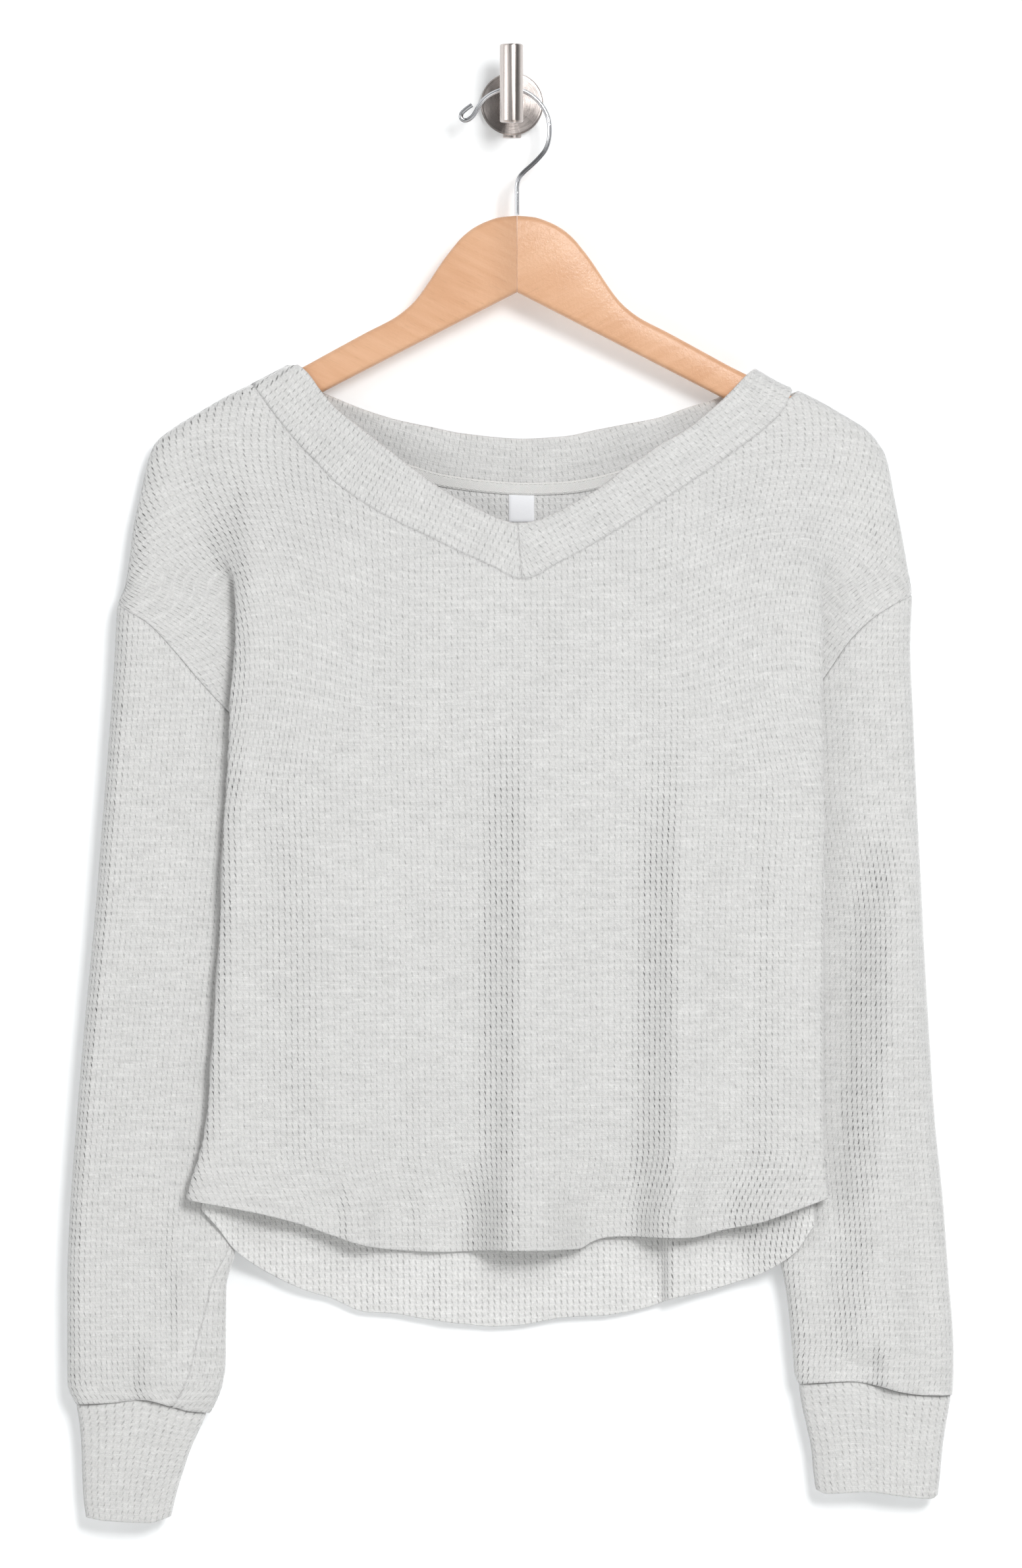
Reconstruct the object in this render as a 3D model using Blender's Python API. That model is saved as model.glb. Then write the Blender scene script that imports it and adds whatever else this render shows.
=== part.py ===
"""Thermal top on a wooden hanger, hung from a steel wall hook.

Lengths are in millimetres and become metres in add_mesh.  The origin is the middle of the
wall bracket's back face.  The wall is the plane y = 0, the front faces -Y and z points up.

Both skins of the cloth, front and back, are drawn as level sections.  A section runs from
one outer edge to the other through numbered stations:
  0 outer edge, 1 and 2 the turn of the edge, 3 middle of the sleeve, 4 and 5 the crease
  under the arm (below the underarm the side seam), 6 and 7 the side edge of the body,
  8 to 38 across the body, and 39 to 46 the same again on the other side.
"""
import bpy
import math
import numpy as np

METRE = 0.001
GAP = 0.35            # between hard pieces
SEAM_HALF = 0.23      # half the space between two pieces of cloth at a seam
TOP_SEAM_HALF = SEAM_HALF * 1.8       # and at the shoulders and the neck

# ------------------------------------------------------------------ wall hook and hanger
BRACKET_WIDTH, BRACKET_HEIGHT, BRACKET_THICK = 11.3, 41.0, 1.6
PLATE_RADIUS, PLATE_THICK, PLATE_EDGE = 19.4, 4.4, 0.8
POST_RADIUS, POST_EDGE = 6.3, 0.3
BAR_RADIUS, BAR_TOP, BAR_BOTTOM, BAR_EDGE = 7.2, 34.5, -13.6, 1.2
HOOK_DEPTH = -27.0    # y of the wire and of the hanger's middle
WIRE_RADIUS = 1.4
HANGER_X = 3.1        # the hanger hangs a little to the right of the plate
TIP_X = 216.0         # from the middle of the hanger to a tip
TIP_SWEEP = 13.0      # each tip lies this much nearer to the wall than the middle
ARM_THICK = 12.0
CLOTH = 2.0           # wall of the knitted cloth
REST = 0.9            # between the cloth and the wood that carries it
BAR_SET = 10.5        # from the wire to the middle of the upright bar before it
BAR_X = -0.3
WIRE_LIFT = 0.2       # added to the gap between the wire's foot and the wood

# ------------------------------------------------------------------ body of the top
CENTRE_X = 6.0        # the point of the V
NECK_TOP_Z = -160.6   # the two highest places of the neck opening
NECK_TOP_HALF = 141.0           # and how far they lie from the middle of the shoulders
SHOULDER_MIDDLE_X = 7.5
SHOULDER_SLOPE = 0.5
CLINGS, FALLS_FREE = 14.0, 110.0    # below the shoulder: cloth on the arm, then on its way off it
ARM_END_Z, ARM_END_BLEND = -240.0, 30.0       # below this height no arm lies in the cloth
SIDE_TURN = (3.0, 11.0)         # stations 1 and 2, from the outer edge
BOW = 2.4             # how square the body's bow from side to side is
UNDERARM_Z = -403.6
ARMHOLE_TOP_Z = {-1: -309.7, 1: -303.6}
TIP_Z = {-1: -210.0, 1: -203.4}
HEM_DEPTH = 18.0      # turned-up hem
HEM_EXTRA = 0.8       # added to the wall where the hem is double
HEM_GUESS_Z = -690.0  # where the search for a column's hem starts
FOLD_FOOT_Z = -700.0  # the height that a fold's x_hem is given at
ACROSS = 30           # station intervals between stations 8 and 38
LAST = ACROSS + 16
STEPS = 6             # samples between two stations


def table(names, *rows):
    """One array per named column, sorted by the first column."""
    columns = np.array(sorted(rows), dtype=float).T
    return dict(zip(names.split(), columns))


def read(source, name, at):
    """Read one column of a table smoothly, with no overshoot, at places in its first column."""
    knots, values = next(iter(source.values())), source[name]
    at = np.clip(np.asarray(at, dtype=float), knots[0], knots[-1])
    widths = np.diff(knots)
    slopes = np.diff(values) / widths
    turns = np.empty_like(values)
    turns[0], turns[-1] = slopes[0], slopes[-1]
    before, after = slopes[:-1], slopes[1:]
    same = before * after > 0
    mean = 2 * before * after / np.where(same, before + after, 1)
    turns[1:-1] = np.where(same, mean, 0)
    i = np.clip(np.searchsorted(knots, at) - 1, 0, len(knots) - 2)
    s = (at - knots[i]) / widths[i]
    rise = values[i + 1] - values[i]
    ease = s * s * (3 - 2 * s)
    lean = widths[i] * s * (1 - s) * ((1 - s) * turns[i] - s * turns[i + 1])
    return values[i] + rise * ease + lean


def ease(value):
    """0 below 0, 1 above 1, and a smooth step between."""
    value = np.clip(value, 0, 1)
    return value * value * (3 - 2 * value)


# Outer edge of the shoulders and sleeves.
OUTER = {
    -1: table("z x",
              (-160.6, -133.9), (-174.0, -160.0), (-181.0, -174.5), (-192.0, -193.4), (-200.5, -207.5),
              (-210.0, -219.0), (-217.5, -222.6), (-241.6, -228.3), (-261.9, -232.6), (-282.1, -235.1),
              (-298.3, -237.9), (-309.7, -242.0), (-342.9, -243.8), (-383.4, -246.6), (-444.1, -251.3),
              (-504.9, -256.2), (-565.6, -262.0), (-626.4, -267.1), (-687.1, -271.4), (-727.6, -272.9),
              (-788.4, -272.9), (-802.6, -267.6), (-812.0, -265.6)),
    1: table("z x",
             (-160.6, 142.0), (-164.7, 149.2), (-174.0, 165.5), (-180.7, 181.4), (-192.0, 202.1),
             (-203.4, 219.7), (-209.6, 224.8), (-217.0, 229.4), (-227.1, 232.1), (-243.6, 235.1),
             (-264.3, 239.2), (-283.0, 242.4), (-303.6, 245.5), (-334.8, 244.4), (-383.4, 246.4),
             (-432.0, 248.5), (-480.6, 250.9), (-529.2, 253.3), (-577.8, 256.2), (-626.4, 259.4),
             (-675.0, 264.3), (-723.6, 267.9), (-772.2, 271.1), (-796.0, 270.5), (-812.0, 266.0)),
}
# Depth of that edge and of the cloth before and behind it, from the hanger's tips down.
HANG = table("z edge front back",
             (-210.0, -14.4, -22.0, -7.0), (-241.6, -14.8, -22.8, -7.2), (-282.1, -15.9, -24.9, -7.6),
             (-309.7, -17.0, -26.5, -8.0), (-342.9, -17.6, -27.4, -8.0), (-400.0, -18.0, -28.0, -8.0),
             (-620.0, -18.0, -28.2, -8.0), (-720.0, -18.0, -27.6, -8.2), (-780.0, -17.5, -26.6, -8.6),
             (-800.0, -17.0, -25.0, -9.0), (-812.0, -17.0, -24.5, -9.5))
# Side edge of the body, and how far the crease behind it reaches inward past that edge.
EDGE = {
    -1: table("z x tuck crease edge front back",
              (-160.6, -98.0, -14, -26, -27, -28, -11), (-174.0, -122.0, -14, -26, -27, -28, -11),
              (-192.0, -152.0, -14, -26, -27, -28, -10), (-210.0, -168.0, -14, -26, -28, -30, -9),
              (-241.6, -171.0, -14, -26.5, -30, -33, -9), (-261.9, -171.5, -13, -27, -33, -37, -9),
              (-282.1, -171.3, -8, -28.5, -36, -41, -10), (-292.2, -170.3, -1, -30, -37, -43, -11),
              (-302.4, -169.7, 8, -31, -38, -43.5, -12), (-322.6, -169.3, 18, -32, -39, -44, -14),
              (-342.9, -170.1, 26, -32.5, -39.5, -44, -17), (-367.2, -172.5, 33, -33, -39.5, -44, -21),
              (-391.4, -173.2, 40, -33.5, -39.5, -44, -28), (-403.6, -173.7, 43, -34, -39.5, -44, -33)),
    1: table("z x tuck crease edge front back",
             (-160.6, 108.0, -14, -26, -27, -28, -11), (-174.0, 130.0, -14, -26, -27, -28, -11),
             (-192.0, 160.0, -14, -26, -27, -28, -10), (-210.0, 182.0, -14, -26, -28, -30, -9),
             (-241.6, 186.0, -14, -26.5, -30, -33, -9), (-261.9, 187.5, -13, -27, -33, -37, -9),
             (-282.1, 188.5, -8, -28.5, -36, -41, -10), (-292.2, 189.3, -1, -30, -37, -43, -11),
             (-302.4, 189.8, 7, -31, -38, -43.5, -12), (-322.6, 190.2, 16, -32, -39, -44, -14),
             (-342.9, 190.3, 24, -32.5, -39.5, -44, -17), (-367.2, 189.9, 31, -33, -39.5, -44, -21),
             (-391.4, 190.2, 38, -33.5, -39.5, -44, -28), (-403.6, 190.5, 40, -34, -39.5, -44, -33)),
}
# The same edge below the underarm, where the crease has become the side seam.
FLANK = {
    -1: table("z x tuck",
              (-403.6, -173.7, 43.0), (-413.7, -174.4, 33.0), (-424.0, -175.2, 25.0),
              (-444.1, -176.8, 18.0), (-504.9, -179.0, 11.0), (-545.4, -181.6, 9.5),
              (-585.9, -184.1, 9.5), (-626.4, -187.5, 9.5), (-646.6, -191.4, 9.5),
              (-666.9, -197.8, 9.5), (-676.0, -199.6, 9.5), (-760.0, -206.0, 9.5)),
    1: table("z x tuck",
             (-403.6, 190.5, 40.0), (-413.7, 190.8, 31.0), (-424.0, 191.0, 24.0),
             (-444.1, 191.4, 17.0), (-504.9, 191.4, 10.5), (-600.0, 191.4, 9.5),
             (-646.6, 192.0, 9.5), (-674.0, 194.8, 9.5), (-760.0, 198.0, 9.5)),
}
FLANK_DEPTH = table("z seam edge front",
                    (-403.6, -34.0, -39.5, -44.0), (-620.0, -33.5, -38.5, -41.5),
                    (-760.0, -33.0, -36.5, -37.0))

# Inner edge of each sleeve below the underarm, its depth, and how the middle dips.
INNER = {
    -1: table("z x edge dip",
              (-403.6, -130.7, -31.5, 0.0), (-424.0, -136.7, -26.0, 0.0), (-464.4, -146.8, -21.0, 0.5),
              (-504.9, -152.9, -19.0, 1.5), (-545.4, -157.0, -18.0, 2.0), (-585.9, -160.2, -18.0, 1.5),
              (-626.4, -163.0, -18.0, 0.5), (-666.9, -166.7, -18.0, 0.0), (-706.6, -171.3, -18.0, 0.5),
              (-730.0, -177.0, -18.0, 1.5), (-777.5, -177.6, -17.5, -2.0), (-789.0, -179.2, -17.5, -1.0),
              (-800.0, -183.0, -17.0, 0.0), (-812.0, -190.0, -17.0, 0.0)),
    1: table("z x edge dip",
             (-403.6, 150.5, -31.5, 0.0), (-424.0, 151.5, -26.0, 0.0), (-464.4, 154.5, -21.0, 1.5),
             (-504.9, 156.0, -19.0, 3.0), (-545.4, 157.0, -18.0, 4.0), (-585.9, 158.0, -18.0, 4.0),
             (-626.4, 159.8, -18.0, 3.0), (-666.9, 162.2, -18.0, 2.5), (-706.6, 165.0, -18.0, 1.0),
             (-733.4, 170.3, -18.0, 2.5), (-768.6, 173.9, -17.5, 2.0), (-784.8, 175.6, -17.5, 0.0),
             (-791.0, 178.4, -17.0, 0.0), (-812.0, 182.0, -17.0, 0.0)),
}
# Armhole seam as seen from the front, from the outer edge down to the underarm.
ARMHOLE = {
    -1: table("z x",
              (-309.7, -242.0), (-311.2, -239.6), (-313.5, -236.0), (-321.0, -224.0), (-336.8, -208.8),
              (-355.0, -193.4), (-376.5, -173.0), (-394.7, -149.0), (-403.6, -130.7)),
    1: table("z x",
             (-303.6, 245.5), (-305.2, 242.8), (-309.0, 236.0), (-318.0, 222.0), (-331.0, 208.5),
             (-349.0, 195.8), (-371.0, 181.0), (-393.0, 165.0), (-403.6, 150.5)),
}
# Seam between the front and the neckband, and the open edge of the neckband.
FRONT_NECK = table("x z",
                   (-159.4, -174.0), (-151.7, -184.9), (-141.9, -197.9), (-131.4, -210.4),
                   (-120.5, -221.8), (-108.7, -234.3), (-92.1, -246.5), (-73.5, -257.4),
                   (-52.9, -267.1), (-32.2, -277.3), (-13.2, -285.8), (6.0, -294.2),
                   (30.6, -282.9), (51.2, -271.6), (71.9, -259.0), (92.5, -245.6),
                   (113.2, -231.9), (133.9, -217.3), (154.5, -201.9), (167.1, -189.0),
                   (172.3, -178.4))
FRONT_RIM = table("x z",
                  (-133.9, -160.6), (-126.0, -167.5), (-118.1, -178.4), (-108.7, -189.0),
                  (-92.1, -202.3), (-73.5, -216.9), (-64.2, -224.2), (-39.5, -241.6),
                  (-19.0, -252.4), (-7.3, -257.8), (3.6, -260.2), (15.0, -258.8),
                  (26.7, -253.8), (46.0, -243.5), (58.9, -235.1), (69.3, -226.6),
                  (79.6, -220.1), (92.5, -211.2), (107.9, -202.1), (120.9, -191.8),
                  (131.8, -182.1), (145.6, -167.9), (149.2, -164.7))
BACK_NECK = table("x z",
                  (-159.4, -174.0), (-140.7, -191.0), (-112.4, -206.8), (-88.1, -216.5),
                  (-63.4, -224.2), (-42.7, -230.3), (-11.5, -234.3), (9.1, -235.5),
                  (33.4, -234.7), (51.2, -231.9), (69.9, -227.0), (94.2, -219.0),
                  (122.5, -208.4), (150.9, -193.8), (172.3, -178.4))
BACK_RIM = table("x z",
                 (-133.9, -160.6), (-118.1, -178.4), (-110.8, -181.7), (-92.1, -189.4),
                 (-71.5, -195.9), (-50.8, -200.3), (-30.2, -204.4), (7.1, -207.6),
                 (33.4, -206.0), (51.2, -202.3), (69.9, -198.7), (90.5, -194.6),
                 (111.2, -187.4), (125.8, -182.9), (137.0, -175.0), (149.2, -164.7))
# Shirt-tail hems: height of the edge across the body.
FRONT_HEM = table("x z",
                  (-206.0, -672.0), (-199.3, -674.2), (-172.7, -679.5), (-152.1, -683.9),
                  (-131.6, -689.5), (-112.4, -696.4), (-87.3, -704.1), (-72.7, -706.3),
                  (-40.3, -707.8), (-7.9, -705.9), (40.7, -705.7), (49.6, -701.3),
                  (56.9, -698.9), (70.3, -698.1), (110.0, -698.1), (130.6, -693.4),
                  (151.3, -689.0), (171.9, -681.9), (191.4, -674.6), (198.0, -672.5))
BACK_HEM = table("x z",
                 (-206.0, -672.0), (-199.3, -674.2), (-188.9, -683.1), (-180.0, -693.2),
                 (-171.3, -705.1), (-161.0, -713.8), (-143.3, -724.3), (-125.8, -732.0),
                 (-112.4, -736.1), (-90.3, -745.0), (-72.7, -745.9), (-54.9, -749.1),
                 (-25.5, -752.8), (-10.7, -754.0), (3.8, -753.2), (33.4, -748.3),
                 (56.9, -747.1), (71.7, -744.9), (87.9, -740.8), (99.7, -736.1),
                 (115.9, -733.1), (133.4, -728.0), (151.3, -721.9), (165.8, -713.8),
                 (174.8, -706.6), (183.7, -693.4), (189.5, -684.5), (198.0, -672.5))
# Soft folds down the front: the crest's x near the top and at the hem, where the fold starts
# and is full, its height, and how far it reaches to the left and to the right.
FRONT_FOLDS = (
    ("x_top", "x_hem", "z_start", "z_full", "height", "left", "right"),
    (-120.0, -106.0, -330.0, -520.0, 7.0, 46.0, 44.0),
    (18.0, 9.0, -330.0, -480.0, 9.0, 30.0, 52.0),
    (104.0, 98.0, -350.0, -500.0, 8.0, 24.0, 50.0),
    (168.0, 165.0, -300.0, -420.0, 2.0, 30.0, 18.0),
)
BACK_FOLDS = (
    ("x_top", "x_hem", "z_start", "z_full", "height", "left", "right"),
    (-90.0, -104.0, -420.0, -620.0, 2.5, 30.0, 40.0),
    (70.0, 92.0, -420.0, -620.0, 2.5, 44.0, 20.0),
)
# Middle of the body: depth of the front and of the back skin.
MIDDLE = table("z front back",
               (-160.6, -30.0, -14.0), (-210.0, -33.0, -13.0), (-260.0, -40.0, -12.5),
               (-294.0, -44.0, -12.0), (-350.0, -46.0, -11.5), (-450.0, -43.0, -11.0),
               (-600.0, -34.0, -10.0), (-680.0, -22.0, -9.0), (-760.0, -14.0, -8.0))


def folds_height(folds, x, z):
    """Summed height of the soft folds at (x, z)."""
    height = np.zeros(np.broadcast(x, z).shape)
    for row in folds[1:]:
        x_top, x_hem, z_start, z_full, rise, left, right = row
        down = np.clip((z_start - z) / (z_start - FOLD_FOOT_Z), 0, 1)
        away = x - (x_top + (x_hem - x_top) * down)
        side = np.where(away < 0, 1 + away / left, 1 - away / right)
        height = height + rise * ease(side) * ease((z_start - z) / (z_start - z_full))
    return height


def arm_depth(x):
    """Depth of the middle of the hanger's arm."""
    return HOOK_DEPTH + TIP_SWEEP * np.abs(x - HANGER_X) / TIP_X


def lying(x, face):
    """Depth of cloth that lies on the front or the back of the hanger's arm."""
    return arm_depth(x) + (-1 if face == "front" else 1) * (ARM_THICK / 2 + REST + CLOTH / 2)


def below_ridge(x, z):
    """Height of the shoulder line over the point (x, z)."""
    run = np.abs(x - SHOULDER_MIDDLE_X)
    return (NECK_TOP_Z - SHOULDER_SLOPE * (run - NECK_TOP_HALF)) - z


def half_section(side, z, face):
    """Stations 0 to 8 at heights z, for the left (-1) or right (1) side of one face."""
    front = face == "front"
    sleeve = z < UNDERARM_Z
    outer_x = read(OUTER[side], "x", z)
    near, full = SIDE_TURN
    on_arm = ease((z - ARM_END_Z) / ARM_END_BLEND)
    outer_y = read(HANG, "edge", z) * (1 - on_arm) + arm_depth(outer_x) * on_arm
    cloth_y = read(HANG, face, z) * (1 - on_arm) + lying(outer_x - side * full, face) * on_arm
    edge_x = np.where(sleeve, read(FLANK[side], "x", z), read(EDGE[side], "x", z))
    tuck = np.where(sleeve, read(FLANK[side], "tuck", z), read(EDGE[side], "tuck", z))
    crease_x = edge_x - side * tuck
    if front:
        crease_y = np.where(sleeve, read(FLANK_DEPTH, "seam", z), read(EDGE[side], "crease", z))
        edge_y = np.where(sleeve, read(FLANK_DEPTH, "edge", z), read(EDGE[side], "edge", z))
        body_y = np.where(sleeve, read(FLANK_DEPTH, "front", z), read(EDGE[side], "front", z))
        inward = np.stack([crease_x + side * 7.0, (crease_x + edge_x) / 2, edge_x, edge_x - side * 8.0], 1)
        depths = np.stack([cloth_y * 0.75 + crease_y * 0.25, (crease_y + edge_y) / 2, edge_y, body_y], 1)
    else:
        crease_y = np.where(sleeve, read(FLANK_DEPTH, "seam", z), read(EDGE[side], "back", z))
        middle = read(MIDDLE, "back", z)
        inward = np.stack([crease_x + side * 6.0, crease_x - side * 9.0, crease_x - side * 24.0,
                           crease_x - side * 42.0], 1)
        depths = np.stack([cloth_y * 0.6 + crease_y * 0.4, crease_y * 0.92 + middle * 0.08,
                           crease_y * 0.6 + middle * 0.4, crease_y * 0.2 + middle * 0.8], 1)
    turn = np.where(sleeve, crease_x - side * 9.0, inward[:, 0])
    turn_y = np.where(sleeve, crease_y + (2.0 if front else -2.0), depths[:, 0])
    x = [outer_x, outer_x - side * near, outer_x - side * full,
         (outer_x - side * full + inward[:, 0]) / 2, turn, crease_x, *inward[:, 1:].T]
    y = [outer_y, outer_y * 0.35 + cloth_y * 0.65, cloth_y, cloth_y, turn_y, crease_y, *depths[:, 1:].T]
    return np.stack(x, 1), np.stack(y, 1)


def section(z, face):
    """Stations of a whole section at heights z: arrays of x and y, one row per height."""
    z = np.atleast_1d(np.asarray(z, dtype=float))
    left_x, left_y = half_section(-1, z, face)
    right_x, right_y = half_section(1, z, face)
    share = np.linspace(0, 1, ACROSS + 1)[1:-1]
    x = left_x[:, -1:] * (1 - share) + right_x[:, -1:] * share
    bow = 1 - np.abs(2 * share - 1) ** BOW
    ends = left_y[:, -1:] * (1 - share) + right_y[:, -1:] * share
    y = ends + (read(MIDDLE, face, z)[:, None] - ends) * bow
    height = z[:, None]
    if face == "front":
        y = y - folds_height(FRONT_FOLDS, x, height)
    else:
        y = y + folds_height(BACK_FOLDS, x, height)
    x = np.concatenate([left_x, x, right_x[:, ::-1]], 1)
    y = np.concatenate([left_y, y, right_y[:, ::-1]], 1)
    # Near the shoulder line the cloth lies on the hanger's arm and only then falls free.
    free = ease((below_ridge(x, height) - CLINGS) / FALLS_FREE)
    lie = lying(x, face)
    held = np.arange(x.shape[1])
    held = (held > 2) & (held < LAST - 2)
    y = np.where(held, lie + (y - lie) * free, y)
    return x, y


def smooth_line(x, y):
    """Points along each row of stations: a Catmull-Rom curve with STEPS samples a station."""
    points = np.stack([x, y], 2)
    padded = np.concatenate([points[:, :1] * 2 - points[:, 1:2], points,
                             points[:, -1:] * 2 - points[:, -2:-1]], 1)
    a, b, c, d = (padded[:, k:k + points.shape[1] - 1] for k in range(4))
    rows = []
    for s in np.arange(STEPS) / STEPS:
        rows.append(0.5 * (2 * b + (c - a) * s + (2 * a - 5 * b + 4 * c - d) * s ** 2
                           + (3 * b - a - 3 * c + d) * s ** 3))
    fine = np.stack(rows, 2).reshape(points.shape[0], -1, 2)
    return np.concatenate([fine, points[:, -1:]], 1)


class Level:
    """One level section of a skin, measured along the cloth from the middle of the body."""

    def __init__(self, z, face):
        line = smooth_line(*section(z, face))[0]
        steps = np.hypot(*np.diff(line, axis=0).T)
        along = np.concatenate([[0], np.cumsum(steps)])
        half = len(line) // 2
        middle = np.interp(CENTRE_X, line[half - 40:half + 40, 0], along[half - 40:half + 40])
        self.z, self.line, self.along = z, line, along - middle

    def at(self, along):
        """The point at a distance along the cloth."""
        return np.array([np.interp(along, self.along, self.line[:, 0]),
                         np.interp(along, self.along, self.line[:, 1]), self.z])

    def station(self, number):
        return self.along[int(round(number * STEPS))]

    def where(self, x, side=0):
        """Distance along the cloth of a place x, on one side as far as the crease."""
        if side == 0:
            lo, hi = 0, len(self.line)
        else:
            lo, hi = (0, 5 * STEPS + 1) if side < 0 else (len(self.line) - 5 * STEPS - 1, len(self.line))
        return np.interp(x, np.maximum.accumulate(self.line[lo:hi, 0]), self.along[lo:hi])

    def limit(self, side):
        """Distance along the cloth of the panel's own edge on one side."""
        outer, crease = (0, 5) if side < 0 else (LAST, LAST - 5)
        if self.z >= ARMHOLE_TOP_Z[side]:
            return self.station(outer)
        if self.z <= UNDERARM_Z:
            return self.station(crease)
        return self.where(read(ARMHOLE[side], "x", self.z), side)


# ------------------------------------------------------------------ building walls
def add_mesh(name, points, faces, finish, smooth=True):
    """Make an object from points in millimetres."""
    mesh = bpy.data.meshes.new(name)
    mesh.from_pydata([tuple(float(v) * METRE for v in p) for p in points], [], faces)
    mesh.validate()
    piece = bpy.data.objects.new(name, mesh)
    bpy.context.scene.collection.objects.link(piece)
    mesh.materials.append(finish)
    if smooth:
        mesh.shade_smooth()
        mesh.set_sharp_from_angle(angle=math.radians(40))
    return piece


def outward(grid, ring=False, flip=False, beyond=None):
    """Unit normals of a grid of points, rows down and columns across.

    beyond gives the neighbours' points past the top, left and right edges, so that two
    pieces that meet at a seam turn the same way there.
    """
    if ring:
        across = np.roll(grid, -1, 1) - np.roll(grid, 1, 1)
        down = np.gradient(grid, axis=0)
    else:
        above, left, right = beyond or (None, None, None)
        above = 2 * grid[0] - grid[1] if above is None else above
        left = 2 * grid[:, 0] - grid[:, 1] if left is None else left
        right = 2 * grid[:, -1] - grid[:, -2] if right is None else right
        wide = np.concatenate([left[:, None], grid, right[:, None]], 1)
        tall = np.concatenate([above[None], grid, 2 * grid[-1:] - grid[-2:-1]], 0)
        across = wide[:, 2:] - wide[:, :-2]
        down = tall[2:] - tall[:-2]
    normals = np.cross(across, down) * (-1 if flip else 1)
    return normals / np.linalg.norm(normals, axis=2, keepdims=True)


def wall(name, grid, thick, finish, normals, ring=False, flip=False):
    """A closed wall around a grid of points; thick may vary from point to point."""
    half = np.asarray(thick) / 2 * np.ones(grid.shape[:2])
    outer = grid + normals * half[..., None]
    inner = grid - normals * half[..., None]
    rows, columns = grid.shape[:2]
    count = rows * columns
    points = np.concatenate([outer.reshape(-1, 3), inner.reshape(-1, 3)])
    faces = []

    def quad(a, b, c, d):
        faces.append((d, c, b, a) if flip else (a, b, c, d))

    spans = columns if ring else columns - 1
    for i in range(rows - 1):
        for j in range(spans):
            k = (j + 1) % columns
            a, b, c, d = i * columns + j, i * columns + k, (i + 1) * columns + k, (i + 1) * columns + j
            quad(a, b, c, d)
            quad(count + d, count + c, count + b, count + a)
    for j in range(spans):
        k = (j + 1) % columns
        last = (rows - 1) * columns
        quad(count + j, count + k, k, j)
        quad(last + j, last + k, count + last + k, count + last + j)
    if not ring:
        for i in range(rows - 1):
            a, b = i * columns, (i + 1) * columns
            quad(a, b, count + b, count + a)
            a, b = a + columns - 1, b + columns - 1
            quad(count + a, count + b, b, a)
    return add_mesh(name, points, faces, finish)


# ------------------------------------------------------------------ front and back
ARMHOLE_ROWS, BODY_ROWS = 8, 11
SHOULDER_SHARES = (0.0, 0.022, 0.065, 0.15, 0.32, 0.52, 0.76)     # rows from the ridge down
SHOULDER_ROWS = len(SHOULDER_SHARES)
SHOULDER_COLUMNS = 5
# Neck columns from the shoulder to the middle; the first ones turn over the shoulder line.
NECK_SHARES = {"front": (0.0, 0.009, 0.03, 0.08, 0.16, 0.26, 0.36, 0.46, 0.56, 0.66, 0.76, 0.87, 1.0),
               "back": (0.0, 0.014, 0.045, 0.11, 0.22, 0.35, 0.5, 0.67, 0.84, 1.0)}


def neck_places(source, middle, face):
    """x of the neck columns along a table, from the left shoulder to the right one."""
    shares = np.array(NECK_SHARES[face])
    left, right = source["x"][0], source["x"][-1]
    return np.concatenate([left + (middle - left) * shares, right + (middle - right) * shares[-2::-1]])


def top_edge(face):
    """The top edge of a panel from tip to tip, as (x, z, on the neck) rows."""
    neck = FRONT_NECK if face == "front" else BACK_NECK
    rows = []
    for z in np.linspace(TIP_Z[-1], neck["z"][0], SHOULDER_COLUMNS + 1)[:-1]:
        rows.append((float(read(OUTER[-1], "x", z)), z, False))
    for x in neck_places(neck, CENTRE_X, face):
        rows.append((x, float(read(neck, "z", x)), True))
    for z in np.linspace(neck["z"][-1], TIP_Z[1], SHOULDER_COLUMNS + 1)[1:]:
        rows.append((float(read(OUTER[1], "x", z)), z, False))
    return rows


def armhole_heights(side):
    """Heights of the seam stations from the armhole's top to the underarm."""
    return ARMHOLE[side]["z"][::-1]


def column_heights(share, top, hem):
    """Heights of the rows of one column; share runs from -1, left, to 1, right."""
    weight = (share + 1) / 2
    marks = armhole_heights(-1) * (1 - weight) + armhole_heights(1) * weight
    upper = top + (marks[0] - top) * np.array(SHOULDER_SHARES)
    fold = hem + HEM_DEPTH
    spread = np.linspace(0, 1, BODY_ROWS) ** 0.9
    lower = marks[-1] + (fold - marks[-1]) * spread[1:]
    return np.concatenate([upper, marks, lower, [hem]])


def panel_grid(face):
    """Middle surface of the front or the back, rows down and columns left to right."""
    edge = top_edge(face)
    hem_table = FRONT_HEM if face == "front" else BACK_HEM
    middle = len(edge) // 2
    columns = []
    for j, (x, z, on_neck) in enumerate(edge):
        share = (j - middle) / middle
        side = 1 if share > 0 else -1
        hem = HEM_GUESS_Z
        for _ in range(4):
            level = Level(hem, face)
            hem = float(read(hem_table, "z", level.at(abs(share) * level.limit(side))[0]))
        heights = column_heights(share, z, hem)
        top_level = Level(z, face)
        start = top_level.where(x) / top_level.limit(side) if on_neck else 1.0
        points = []
        for i, height in enumerate(heights):
            turned = SHOULDER_SHARES[i] if i < SHOULDER_ROWS else 1.0
            level = Level(height, face)
            points.append(level.at(level.limit(side) * (start + (abs(share) - start) * turned)))
        columns.append(points)
    return np.array(columns).transpose(1, 0, 2)


def hem_walls(grid):
    """Wall thickness of a panel: thicker where the hem is double."""
    thick = np.full(grid.shape[:2], CLOTH)
    thick[-2:] += HEM_EXTRA
    return thick


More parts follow.
